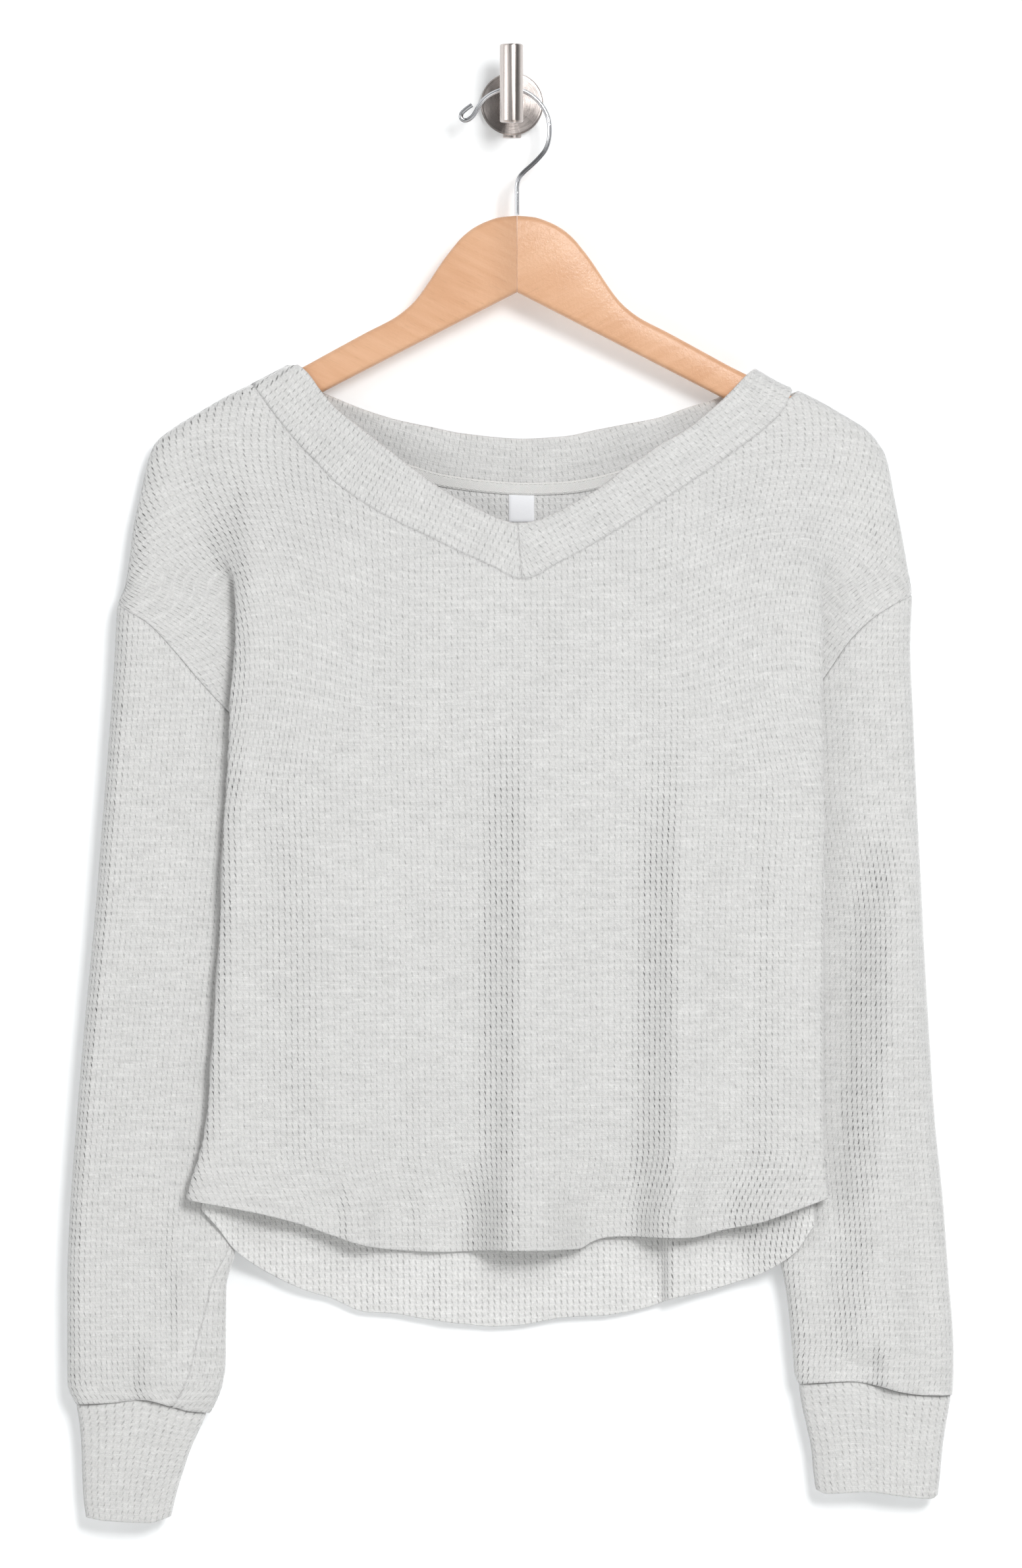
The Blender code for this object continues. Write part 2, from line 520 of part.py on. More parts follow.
def seam_step(seam, nearest, normals):
    """Unit steps off a seam along the cloth, towards the piece's next line of points."""
    line = np.gradient(seam, axis=0)
    line /= np.linalg.norm(line, axis=1, keepdims=True)
    step = nearest - seam
    step -= normals * np.sum(step * normals, axis=1, keepdims=True)
    step -= line * np.sum(step * line, axis=1, keepdims=True)
    return step / np.linalg.norm(step, axis=1, keepdims=True)


def past_seams(grid, other):
    """Points past a panel's top and side seams: the other panel's where it is sewn to that."""
    armhole = slice(SHOULDER_ROWS + 1, SHOULDER_ROWS + ARMHOLE_ROWS)
    above, left, right = other[1].copy(), other[:, 1].copy(), other[:, -2].copy()
    for corner in (0, -1):
        above[corner] = 2 * grid[0, corner] - grid[1, corner]
    for ghost, corner, next_one in ((left, 0, 1), (right, -1, -2)):
        ghost[armhole] = (2 * grid[:, corner] - grid[:, next_one])[armhole]
        ghost[0] = 2 * grid[0, corner] - grid[0, next_one]
    shoulder = SHOULDER_COLUMNS + 1
    above = np.concatenate([above[:shoulder], (2 * grid[0] - grid[1])[shoulder:-shoulder],
                            above[-shoulder:]])
    return above, left, right


def add_body(finish):
    """The front and the back; returns each one's grid and outward normals."""
    grids = {"front": panel_grid("front"), "back": panel_grid("back")}
    normals = {}
    for face, other in (("front", "back"), ("back", "front")):
        normals[face] = outward(grids[face], flip=face == "front",
                                beyond=past_seams(grids[face], grids[other]))
        for corner, next_one in ((0, 1), (-1, -2)):
            turn = normals[face][0, next_one] + normals[face][1, corner]
            normals[face][0, corner] = turn / np.linalg.norm(turn)
    steps = {}
    for face, grid in grids.items():
        steps[face] = {edge: seam_step(grid[:, edge], grid[:, next_one], normals[face][:, edge])
                       for edge, next_one in ((0, 1), (-1, -2))}
        steps[face]["top"] = seam_step(grid[0], grid[1], normals[face][0])
        parted = grid.copy()
        parted[0] += steps[face]["top"] * TOP_SEAM_HALF
        for edge in (0, -1):
            parted[1:, edge] += steps[face][edge][1:] * SEAM_HALF
            parted[SHOULDER_ROWS, edge, 2] += 2 * SEAM_HALF      # the armhole's top corner
        wall(face, parted, hem_walls(grid), finish, normals[face], flip=face == "front")
    return grids, normals, steps


# ------------------------------------------------------------------ sleeves and cuffs
SLEEVE_ROWS = 18
INNER_TURN = 9.0      # from a sleeve's inner edge to where its turn ends
UNDERARM_DROP = 4.5   # the sleeve's own corner lies this much under the body's
TOP_DROP = 1.2        # and at the top of the armhole this much
ROW_SPREAD = 0.85     # under 1 the rows of a sleeve lie closer together towards the cuff
CUFF_TOP = {-1: table("x z", (-268.0, -801.6), (-246.0, -800.5), (-227.0, -798.6), (-211.0, -802.3),
                      (-199.5, -805.5), (-186.5, -806.8)),
            1: table("x z", (176.0, -789.1), (192.5, -788.0), (208.7, -787.3), (225.0, -789.8),
                     (239.6, -793.8), (254.4, -795.8), (270.5, -796.0))}
CUFF_SIDES = {-1: table("z outer inner front back",
                        (-801.0, -267.4, -187.0, -24.5, -9.5), (-815.0, -265.0, -193.0, -24.5, -9.5),
                        (-829.0, -264.0, -199.3, -24.0, -9.5), (-842.0, -263.6, -203.7, -23.5, -9.5),
                        (-857.0, -263.0, -208.2, -23.0, -9.5), (-873.0, -261.0, -211.8, -22.5, -9.5)),
              1: table("z outer inner front back",
                       (-789.0, 270.4, 178.0, -24.5, -9.5), (-800.0, 268.6, 179.6, -24.5, -9.5),
                       (-815.0, 266.0, 182.9, -24.0, -9.5), (-829.0, 264.0, 185.8, -23.5, -9.5),
                       (-845.0, 262.6, 187.3, -23.0, -9.5), (-859.0, 261.0, 189.5, -22.5, -9.5))}
CUFF_END = {-1: table("x z", (-262.0, -871.0), (-250.0, -872.6), (-223.0, -873.8), (-211.0, -870.3)),
            1: table("x z", (189.0, -854.0), (192.5, -856.0), (219.0, -854.8), (239.6, -857.4),
                     (258.6, -859.2), (262.0, -857.0))}


def sleeve_ring(side, z, faces=("front", "back")):
    """One level ring of a sleeve below the underarm: front line then back line, outer edge first."""
    near, full = SIDE_TURN
    lines = []
    for face in faces:
        outer_x, outer_y, cloth_y = read(OUTER[side], "x", z), read(HANG, "edge", z), read(HANG, face, z)
        inner_x, inner_y = read(INNER[side], "x", z), read(INNER[side], "edge", z)
        dip = read(INNER[side], "dip", z) * (1 if face == "front" else 0)
        x = [outer_x, outer_x - side * near, outer_x - side * full, (outer_x + inner_x) / 2,
             inner_x + side * INNER_TURN, inner_x]
        y = [outer_y, outer_y * 0.35 + cloth_y * 0.65, cloth_y, cloth_y + dip,
             cloth_y * 0.8 + inner_y * 0.2, inner_y]
        # mirrored neighbours make the turn at both ends of the line round
        ghost = {"front": "back", "back": "front"}[face]
        other_y = read(HANG, ghost, z)
        x = [outer_x - side * near] + x + [inner_x + side * INNER_TURN]
        y = [outer_y * 0.35 + other_y * 0.65] + y + [other_y * 0.8 + inner_y * 0.2]
        points = smooth_line(np.array([x], dtype=float), np.array([y], dtype=float))[0]
        lines.append(points[STEPS:-STEPS])
    return lines


def sleeve_grid(side, grids, steps):
    """Middle surface of a sleeve, rows down and columns round it from the outer edge."""
    column = 0 if side < 0 else -1
    first = SHOULDER_ROWS
    count = ARMHOLE_ROWS
    part = {face: step[column][first:first + count + 1] for face, step in steps.items()}
    seams = {face: grid[first:first + count + 1, column] for face, grid in grids.items()}
    columns = []
    for face, k in sleeve_order():
        start = seams[face][k].copy()
        if k in (0, count):
            start = (seams["front"][k] + seams["back"][k]) / 2
        level = Level(start[2], face)
        reach = abs(level.where(start[0], side) - level.station(0 if side < 0 else LAST))
        crease = abs(level.station(5 if side < 0 else LAST - 5) - level.station(0 if side < 0 else LAST))
        share = 0.0 if k == 0 else 1.0 if k == count else reach / crease
        first_point = start - part[face][k] * SEAM_HALF * min(k, 1)
        first_point[2] -= TOP_DROP * max(0.0, 1 - k / 3) + UNDERARM_DROP * (k / count) ** 6
        points = [first_point] if k < count else []
        end = float(read(CUFF_TOP[side], "z", start[0]))
        for i in range(len(points), SLEEVE_ROWS + 1):
            z = first_point[2] + (end - first_point[2]) * (i / SLEEVE_ROWS) ** ROW_SPREAD
            if i == SLEEVE_ROWS:
                z = float(read(CUFF_TOP[side], "z", points[-1][0]))
            if z > UNDERARM_Z:
                level = Level(z, face)
                outer = level.station(0 if side < 0 else LAST)
                inner = level.station(5 if side < 0 else LAST - 5)
                points.append(level.at(outer + (inner - outer) * share))
            else:
                line = sleeve_ring(side, z, (face,))[0]
                along = np.concatenate([[0], np.cumsum(np.hypot(*np.diff(line, axis=0).T))])
                target = share * along[-1]
                points.append(np.array([np.interp(target, along, line[:, 0]),
                                        np.interp(target, along, line[:, 1]), z]))
        columns.append(points)
    return np.array(columns).transpose(1, 0, 2)


CUFF_ROWS = 5
CUFF_THICK = 2.6
CUFF_GAP = 0.5        # between a sleeve's end and its cuff


def sleeve_order():
    """Face and seam station of each column round a sleeve."""
    front = [("front", k) for k in range(ARMHOLE_ROWS + 1)]
    return front + [("back", k) for k in range(ARMHOLE_ROWS - 1, 0, -1)]


def cuff_grid(side, rim):
    """Middle surface of a cuff: a flattened ring that tapers to its open end."""
    rows = []
    for i in range(CUFF_ROWS + 1):
        share = i / CUFF_ROWS
        ring = []
        for (face, k), point in zip(sleeve_order(), rim):
            top = point[2] - CUFF_GAP
            outer, inner = (float(read(CUFF_SIDES[side], name, top)) for name in ("outer", "inner"))
            place = np.clip((point[0] - inner) / (outer - inner), 0, 1)
            place = {0: 1.0, ARMHOLE_ROWS: 0.0}.get(k, place)
            z = top
            for _ in range(3):
                outer, inner = (float(read(CUFF_SIDES[side], name, z)) for name in ("outer", "inner"))
                x = inner + (outer - inner) * place
                z = top + (float(read(CUFF_END[side], "z", x)) - top) * share
            near, far = (float(read(CUFF_SIDES[side], name, z)) for name in ("front", "back"))
            bulge = 1 - abs(2 * place - 1) ** 4
            y = (near + far) / 2 + (near - far) / 2 * bulge * (1 if face == "front" else -1)
            ring.append((x, y, z))
        rows.append(ring)
    return np.array(rows)


def add_sleeves(finish, grids, normals, steps):
    for side, word in ((-1, "left"), (1, "right")):
        flip = side < 0
        grid = sleeve_grid(side, grids, steps)
        turned = outward(grid, ring=True, flip=flip)
        column = 0 if side < 0 else -1
        for j, (face, k) in enumerate(sleeve_order()):
            if k < ARMHOLE_ROWS:
                turned[0, j] = normals[face][SHOULDER_ROWS + k, column]
        wall("sleeve_" + word, grid, CLOTH, finish, turned, ring=True, flip=flip)
        cuff = cuff_grid(side, grid[-1])
        wall("cuff_" + word, cuff, CUFF_THICK, finish, outward(cuff, ring=True, flip=flip),
             ring=True, flip=flip)


# ------------------------------------------------------------------ neckband, tape and label
BAND_THICK = 2.4
BAND_ROWS = 3
TAPE_REACH = (-96.0, 112.0)
TAPE_HEIGHT = 7.4
TAPE_THICK = 1.0
TAPE_OVER = 1.2       # the tape's top lies this much over the neck seam
TAPE_LIFT = 0.9       # between the back's cloth and the tape
LABEL_LIFT = 0.8
LABEL_DROP = 0.85     # between the tape and the label
LABEL_WIDTH, LABEL_HEIGHT, LABEL_THICK, LABEL_X = 15.4, 16.4, 1.0, 5.9


def rim_points(face):
    """Open edge of the neckband over one face, one point for each neck column of the panel."""
    rim = FRONT_RIM if face == "front" else BACK_RIM
    points = []
    for x in neck_places(rim, rim["x"][np.argmin(rim["z"])], face):
        level = Level(float(read(rim, "z", x)), face)
        points.append(level.at(level.where(x)))
    return np.array(points)


def round_neck(front, back):
    """Join rows of the front's and the back's neck columns into one ring."""
    columns = slice(SHOULDER_COLUMNS, -SHOULDER_COLUMNS)
    return np.concatenate([front[columns], back[columns][-2:0:-1]])


def add_neckband(finish, grids, normals, steps):
    """One closed ring: down the front's V and back round the nape, sharing the panels' points."""
    front, back = grids["front"], grids["back"]
    neck_count = front.shape[1] - 2 * SHOULDER_COLUMNS
    shoulders = (0, neck_count - 1)           # the band's stations on the shoulder line
    edge = round_neck(front[0], back[0])
    seam = edge - round_neck(steps["front"]["top"], steps["back"]["top"]) * SEAM_HALF
    rim = np.concatenate([rim_points("front"), rim_points("back")[-2:0:-1]])
    for shoulder in shoulders:
        inward = rim[shoulder] - edge[shoulder]
        seam[shoulder] = edge[shoulder] + inward / np.linalg.norm(inward) * 2 * SEAM_HALF
    grid = np.array([rim + (seam - rim) * share for share in np.linspace(0, 1, BAND_ROWS + 1)])
    for row in range(1, BAND_ROWS):
        for j in range(grid.shape[1]):
            if j not in shoulders:
                level = Level(grid[row, j, 2], "front" if j < neck_count else "back")
                grid[row, j] = level.at(level.where(grid[row, j, 0]))
    turned = outward(grid, ring=True, flip=True)
    turned[-1] = round_neck(normals["front"][0], normals["back"][0])
    wall("neckband", grid, BAND_THICK, finish, turned, ring=True, flip=True)


def inside_back(x, z, lift):
    """A point over the inner side of the back's cloth."""
    level = Level(z, "back")
    point = level.at(level.where(x))
    return point - np.array([0, CLOTH / 2 + lift, 0])


def add_tape(finish):
    rows = []
    for share in (0.0, 0.5, 1.0):
        row = []
        for x in np.linspace(*TAPE_REACH, 22):
            z = float(read(BACK_NECK, "z", x)) + TAPE_OVER - TAPE_HEIGHT * share
            row.append(inside_back(x, z, TAPE_LIFT + TAPE_THICK / 2))
        rows.append(row)
    grid = np.array(rows)
    wall("neck_tape", grid, TAPE_THICK, finish, outward(grid, flip=True), flip=True)


def add_label(finish):
    top = float(read(BACK_NECK, "z", LABEL_X)) + TAPE_OVER - TAPE_HEIGHT - LABEL_DROP
    rows = []
    for share in np.linspace(0, 1, 4):
        row = []
        for turn in np.linspace(-0.5, 0.5, 5):
            x = LABEL_X + turn * LABEL_WIDTH
            row.append(inside_back(x, top - share * LABEL_HEIGHT, LABEL_LIFT + LABEL_THICK / 2))
        rows.append(row)
    grid = np.array(rows)
    wall("label", grid, LABEL_THICK, finish, outward(grid, flip=True), flip=True)


# ------------------------------------------------------------------ hanger and wall hook
ARM_TOP = table("away z",
                (0.0, -70.4), (10.0, -71.2), (18.0, -73.6), (26.0, -77.4), (34.0, -83.6),
                (40.0, -90.6), (46.0, -98.5), (51.0, -106.0), (57.0, -115.0), (63.0, -122.8),
                (69.0, -128.4), (76.0, -133.4), (92.0, -141.6), (115.0, -154.0), (132.0, -163.2),
                (163.0, -178.0), (197.0, -195.6), (208.0, -203.2), (213.5, -209.0), (216.0, -215.0))
ARM_FOOT = table("away z",
                 (0.0, -117.3), (120.0, -178.6), (200.0, -219.6), (210.0, -223.0), (214.5, -221.0),
                 (216.0, -218.0))
ARM_STATIONS = (0.0, 12.0, 24.0, 34.0, 44.0, 53.0, 62.0, 72.0, 90.0, 112.0, 135.0, 160.0, 185.0,
                200.0, 208.0, 213.5, 216.0)
ARM_ROUND = 4.0
TAPER_FROM = 175.0    # the arm thins from here to its tip
MITRE_GAP = 0.2
HOOK_PATH = (
    (3.1, -71.2), (3.1, -58.0), (3.2, -51.5), (4.6, -46.8), (7.6, -43.2), (11.0, -40.2), (14.6, -36.8),
    (17.8, -33.4), (20.6, -29.6), (22.5, -24.5), (23.2, -19.0), (23.0, -14.0), (22.0, -9.4), (20.0, -5.0),
    (17.2, -1.0), (13.8, 2.4), (10.2, 4.9), (6.5, 6.6), (2.8, 7.7), (-0.8, 8.05), (-4.4, 7.6),
    (-8.2, 6.5), (-12.4, 4.7), (-16.0, 2.3), (-18.6, -0.3), (-20.6, -3.2), (-22.4, -6.4), (-24.4, -9.3),
    (-27.0, -11.2), (-29.6, -11.6), (-31.3, -10.1), (-31.1, -7.6), (-29.2, -5.5), (-26.8, -3.6),
    (-24.6, -2.1))


def add_arm(side, finish):
    """One arm of the hanger: rounded sections from the mitre to the tip."""
    points, faces = [], []
    for away in ARM_STATIONS:
        top, foot = float(read(ARM_TOP, "z", away)), float(read(ARM_FOOT, "z", away))
        x = HANGER_X + side * max(away, MITRE_GAP)
        middle = float(arm_depth(HANGER_X + away))
        thinned = max(away - TAPER_FROM, 0.0) / (TIP_X - TAPER_FROM)
        taper = math.sqrt(max(0.15, 1 - thinned ** 2.5))
        half = ARM_THICK / 2 * taper
        soft = min(ARM_ROUND, half * 0.7, (top - foot) * 0.3)
        for y, z in ((-half, foot + soft), (-half, top - soft), (-half + soft, top), (half - soft, top),
                     (half, top - soft), (half, foot + soft), (half - soft, foot), (-half + soft, foot)):
            points.append((x, middle + y, z))
    around = 8
    for i in range(len(ARM_STATIONS) - 1):
        for k in range(around):
            n = (k + 1) % around
            a, b = i * around + k, i * around + n
            faces.append((a, b, b + around, a + around) if side < 0 else (a + around, b + around, b, a))
    start, end = list(range(around)), list(range(len(points) - around, len(points)))
    faces.append(start[::-1] if side < 0 else start)
    faces.append(end if side < 0 else end[::-1])
    return add_mesh("hanger_arm_" + ("left" if side < 0 else "right"), points, faces, finish)


def add_hook(finish):
    """The wire: a bevelled curve that runs up from the hanger and round the post."""
    curve = bpy.data.curves.new("hanger_hook", "CURVE")
    curve.dimensions = "3D"
    curve.bevel_depth = WIRE_RADIUS * METRE
    curve.bevel_resolution = 2
    curve.use_fill_caps = True
    line = curve.splines.new("POLY")
    path = [(x, HOOK_DEPTH, z) for x, z in HOOK_PATH]
    path[0] = (path[0][0], HOOK_DEPTH, float(ARM_TOP["z"][0]) + GAP + WIRE_LIFT)
    line.points.add(len(path) - 1)
    for point, place in zip(line.points, path):
        point.co = (*[v * METRE for v in place], 1.0)
    curve.materials.append(finish)
    hook = bpy.data.objects.new("hanger_hook", curve)
    bpy.context.scene.collection.objects.link(hook)
    return hook


def add_turned(name, radius, start, end, edge, axis, place, finish, sides=32):
    """A short turned bar with softened ends, from start to end along Y or Z."""
    points, faces = [], []
    rings = ((start, radius - edge), (start + edge, radius), (end - edge, radius), (end, radius - edge))
    for along, r in rings:
        for k in range(sides):
            turn = 2 * math.pi * k / sides
            a, b = r * math.cos(turn), r * math.sin(turn)
            spot = (a, along, b) if axis == "Y" else (a, -b, along)
            points.append(tuple(p + q for p, q in zip(spot, place)))
    for i in range(len(rings) - 1):
        for k in range(sides):
            n = (k + 1) % sides
            faces.append((i * sides + k, (i + 1) * sides + k, (i + 1) * sides + n, i * sides + n))
    faces.append(tuple(range(sides)))
    faces.append(tuple(reversed(range(len(points) - sides, len(points)))))
    return add_mesh(name, points, faces, finish)


def add_box(name, low, high, finish):
    points = [(x, y, z) for x in (low[0], high[0]) for y in (low[1], high[1]) for z in (low[2], high[2])]
    faces = [(0, 1, 3, 2), (4, 6, 7, 5), (0, 4, 5, 1), (2, 3, 7, 6), (0, 2, 6, 4), (1, 5, 7, 3)]
    return add_mesh(name, points, faces, finish, smooth=False)


def add_wall_hook(finish):
    add_box("wall_bracket", (-BRACKET_WIDTH / 2, -BRACKET_THICK, -BRACKET_HEIGHT / 2),
            (BRACKET_WIDTH / 2, 0, BRACKET_HEIGHT / 2), finish)
    plate_back = -BRACKET_THICK - GAP
    plate_front = plate_back - PLATE_THICK
    bar_middle = HOOK_DEPTH - BAR_SET
    add_turned("wall_plate", PLATE_RADIUS, plate_front, plate_back, PLATE_EDGE, "Y", (0, 0, 0), finish)
    add_turned("wall_post", POST_RADIUS, bar_middle + BAR_RADIUS + GAP, plate_front - GAP, POST_EDGE, "Y",
               (0, 0, 0), finish, 24)
    add_turned("wall_bar", BAR_RADIUS, BAR_BOTTOM, BAR_TOP, BAR_EDGE, "Z", (BAR_X, bar_middle, 0),
               finish, 24)


def make_finish(name, colour, roughness, metallic=0.0):
    finish = bpy.data.materials.new(name)
    finish.use_nodes = True
    shader = finish.node_tree.nodes["Principled BSDF"]
    shader.inputs["Base Color"].default_value = (*colour, 1.0)
    shader.inputs["Roughness"].default_value = roughness
    shader.inputs["Metallic"].default_value = metallic
    return finish


def main():
    for old in list(bpy.data.objects):
        bpy.data.objects.remove(old, do_unlink=True)
    knit = make_finish("waffle_knit", (0.62, 0.62, 0.63), 0.95)
    tape = make_finish("neck_tape", (0.60, 0.60, 0.62), 0.9)
    satin = make_finish("blank_label", (0.85, 0.85, 0.85), 0.6)
    wood = make_finish("varnished_wood", (0.66, 0.41, 0.20), 0.35)
    chrome = make_finish("chrome_wire", (0.72, 0.73, 0.76), 0.12, 1.0)
    steel = make_finish("brushed_steel", (0.60, 0.58, 0.56), 0.3, 1.0)
    add_wall_hook(steel)
    for side in (-1, 1):
        add_arm(side, wood)
    add_hook(chrome)
    grids, normals, steps = add_body(knit)
    add_sleeves(knit, grids, normals, steps)
    add_neckband(knit, grids, normals, steps)
    add_tape(tape)
    add_label(satin)


main()
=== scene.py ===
"""Thermal top on a wooden hanger, hung from a steel wall hook: the finish of every piece.

The file is laid out as an add-on: sizes and colours are properties, each group of pieces has its
own operator, and a panel in the sidebar lists them.  Run as a script it makes everything in turn.

Lengths are millimetres and become metres where a mesh is made.  The wall is the plane y = 0, the front
faces -Y and z points up.  A place on a skin of the body is (along, z): the distance along the
cloth from the point of the V, and the height.  "Left" and "right" are the viewer's.
"""
import math

import bmesh
import bpy
import numpy as np
from bpy.props import FloatProperty, FloatVectorProperty, PointerProperty
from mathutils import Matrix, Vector
from mathutils.geometry import delaunay_2d_cdt


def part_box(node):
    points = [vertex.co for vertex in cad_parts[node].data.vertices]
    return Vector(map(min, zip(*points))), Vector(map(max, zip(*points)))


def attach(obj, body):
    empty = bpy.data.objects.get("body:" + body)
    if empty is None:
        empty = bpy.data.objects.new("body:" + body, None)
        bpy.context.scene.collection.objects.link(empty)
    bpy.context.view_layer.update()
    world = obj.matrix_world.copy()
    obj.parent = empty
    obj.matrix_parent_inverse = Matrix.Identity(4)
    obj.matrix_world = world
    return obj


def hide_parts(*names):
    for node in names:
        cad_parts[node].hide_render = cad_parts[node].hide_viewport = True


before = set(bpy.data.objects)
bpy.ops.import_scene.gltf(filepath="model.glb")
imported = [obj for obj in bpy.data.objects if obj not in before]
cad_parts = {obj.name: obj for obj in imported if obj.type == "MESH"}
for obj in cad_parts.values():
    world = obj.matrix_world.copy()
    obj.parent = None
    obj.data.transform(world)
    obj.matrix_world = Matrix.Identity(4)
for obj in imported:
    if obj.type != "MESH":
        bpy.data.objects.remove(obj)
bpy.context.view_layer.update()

bl_info = {
    "name": "Thermal top on a hanger",
    "version": (1, 0, 0),
    "blender": (4, 5, 0),
    "location": "3D View > Sidebar > Thermal top",
    "description": "Makes a knitted thermal top, its wooden hanger and its steel wall hook",
    "category": "Object",
}

BODY = "root"
SIDES = {-1: "left", 1: "right"}
ARMS = ["hanger_arm_left", "hanger_arm_right"]
METRE = 0.001
CLOTH = 2.0            # wall of the knitted cloth between its two skins
REST = 0.9             # between the cloth and the wood that carries it

# ---------------- sizes of the hanger
HOOK_DEPTH = -27.0     # y of the wire and of the hanger's middle
HANGER_X = 3.1         # the hanger hangs a little to the right of the plate
TIP_X = 216.0          # from the middle of the hanger to a tip
TIP_SWEEP = 13.0       # each tip lies this much nearer to the wall than the middle
ARM_THICK = 12.0

# ---------------- form of the cloth
CENTRE_X = 6.0         # the point of the V
UNDERARM_Z = -403.6
ARMHOLE_TOP_Z = {-1: -309.7, 1: -303.6}
ACROSS = 30            # station intervals between stations 8 and 38
LAST = ACROSS + 16
CREASE = 5             # the station that lies in the crease beside the body
STEPS = 6              # samples between two stations
NECK_TOP_Z = -160.6    # the two highest places of the neck opening
NECK_TOP_HALF = 141.0  # and how far they lie from the middle of the shoulders
SHOULDER_MIDDLE_X = 7.5
SHOULDER_SLOPE = 0.5
CLINGS, FALLS_FREE = 14.0, 110.0       # below the shoulder: cloth on the arm, then on its way off it
ARM_END_Z, ARM_END_BLEND = -240.0, 30.0        # below this height no arm lies in the cloth
SIDE_TURN = (3.0, 11.0)        # stations 1 and 2, from the outer edge
SIDE_SHARE = 0.35      # of the outer edge's depth at station 1, the rest being the cloth's
CREASE_TURN = {"front": 7.0, "back": 6.0}      # station 4, from the crease outwards
SEAM_TURN = (-9.0, 2.0)        # and below the underarm, where it lies inwards and off the seam
BODY_TURN = 8.0        # station 8 of the front, from the body's edge inwards
BACK_INWARD = (9.0, 24.0, 42.0)        # stations 6 to 8 of the back, from the crease inwards
INNER_TURN = 9.0       # from a sleeve's inner edge to where its turn ends
BOW = 2.4              # how square the body's bow from side to side is
HEM_GUESS_Z = -690.0   # where the search for the hem starts, and for the seam over the cuffs
SLEEVE_FOOT_GUESS_Z, CUFF_TOP_GUESS_Z = -800.0, -795.0
FOLD_FOOT_Z = -700.0   # the height that a fold's x_hem is given at
SLEEVE_FOLD_RISE, SLEEVE_FOLD_FADE = 90.0, 16.0        # a sleeve's fold grows and ends over these


def table(names, *rows):
    """One array per named column, sorted by the first column."""
    columns = np.array(sorted(rows), dtype=float).T
    return dict(zip(names.split(), columns))


def read(source, name, at):
    """Read one column of a table smoothly, with no overshoot, at places in its first column."""
    knots, values = next(iter(source.values())), source[name]
    at = np.clip(np.asarray(at, dtype=float), knots[0], knots[-1])
    widths = np.diff(knots)
    slopes = np.diff(values) / widths
    turns = np.empty_like(values)
    turns[0], turns[-1] = slopes[0], slopes[-1]
    before, after = slopes[:-1], slopes[1:]
    same = before * after > 0
    mean = 2 * before * after / np.where(same, before + after, 1)
    turns[1:-1] = np.where(same, mean, 0)
    i = np.clip(np.searchsorted(knots, at) - 1, 0, len(knots) - 2)
    s = (at - knots[i]) / widths[i]
    rise = values[i + 1] - values[i]
    smooth = s * s * (3 - 2 * s)
    lean = widths[i] * s * (1 - s) * ((1 - s) * turns[i] - s * turns[i + 1])
    return values[i] + rise * smooth + lean


def ease(value):
    """0 below 0, 1 above 1, and a smooth step between."""
    value = np.clip(value, 0, 1)
    return value * value * (3 - 2 * value)


# Outer edge of the shoulders and sleeves.
OUTER = {
    -1: table(
        "z x", (-160.6, -133.9), (-174, -160), (-181, -174.5), (-192, -193.4), (-200.5, -207.5),
        (-210, -219), (-217.5, -222.6), (-241.6, -228.3), (-261.9, -232.6), (-282.1, -235.1),
        (-298.3, -237.9), (-309.7, -242), (-342.9, -243.8), (-383.4, -246.6), (-444.1, -251.3),
        (-504.9, -256.2), (-565.6, -262), (-626.4, -267.1), (-687.1, -271.4), (-727.6, -272.9),
        (-788.4, -272.9), (-802.6, -267.6), (-812, -265.6)),
    1: table(
        "z x", (-160.6, 142), (-164.7, 149.2), (-174, 165.5), (-180.7, 181.4), (-192, 202.1),
        (-203.4, 219.7), (-209.6, 224.8), (-217, 229.4), (-227.1, 232.1), (-243.6, 235.1), (-264.3, 239.2),
        (-283, 242.4), (-303.6, 245.5), (-334.8, 244.4), (-383.4, 246.4), (-432, 248.5), (-480.6, 250.9),
        (-529.2, 253.3), (-577.8, 256.2), (-626.4, 259.4), (-675, 264.3), (-723.6, 267.9), (-772.2, 271.1),
        (-796, 270.5), (-812, 266)),
}
# Depth of that edge and of the cloth before and behind it, from the hanger's tips down.
HANG = table(
    "z edge front back", (-210, -14.4, -22, -7), (-241.6, -14.8, -22.8, -7.2),
    (-282.1, -15.9, -24.9, -7.6), (-309.7, -17, -26.5, -8), (-342.9, -17.6, -27.4, -8),
    (-400, -18, -28, -8), (-620, -18, -28.2, -8), (-720, -18, -27.6, -8.2), (-780, -17.5, -26.6, -8.6),
    (-800, -17, -25, -9), (-812, -17, -24.5, -9.5))
# Side edge of the body, and how far the crease behind it reaches inward past that edge.
EDGE = {
    -1: table(
        "z x tuck", (-160.6, -98, -14), (-174, -122, -14), (-192, -152, -14), (-210, -168, -14),
        (-241.6, -171, -14), (-261.9, -171.5, -13), (-282.1, -171.3, -8), (-292.2, -170.3, -1),
        (-302.4, -169.7, 8), (-322.6, -169.3, 18), (-342.9, -170.1, 26), (-367.2, -172.5, 33),
        (-391.4, -173.2, 40), (-403.6, -173.7, 43)),
    1: table(
        "z x tuck", (-160.6, 108, -14), (-174, 130, -14), (-192, 160, -14), (-210, 182, -14),
        (-241.6, 186, -14), (-261.9, 187.5, -13), (-282.1, 188.5, -8), (-292.2, 189.3, -1),
        (-302.4, 189.8, 7), (-322.6, 190.2, 16), (-342.9, 190.3, 24), (-367.2, 189.9, 31),
        (-391.4, 190.2, 38), (-403.6, 190.5, 40)),
}
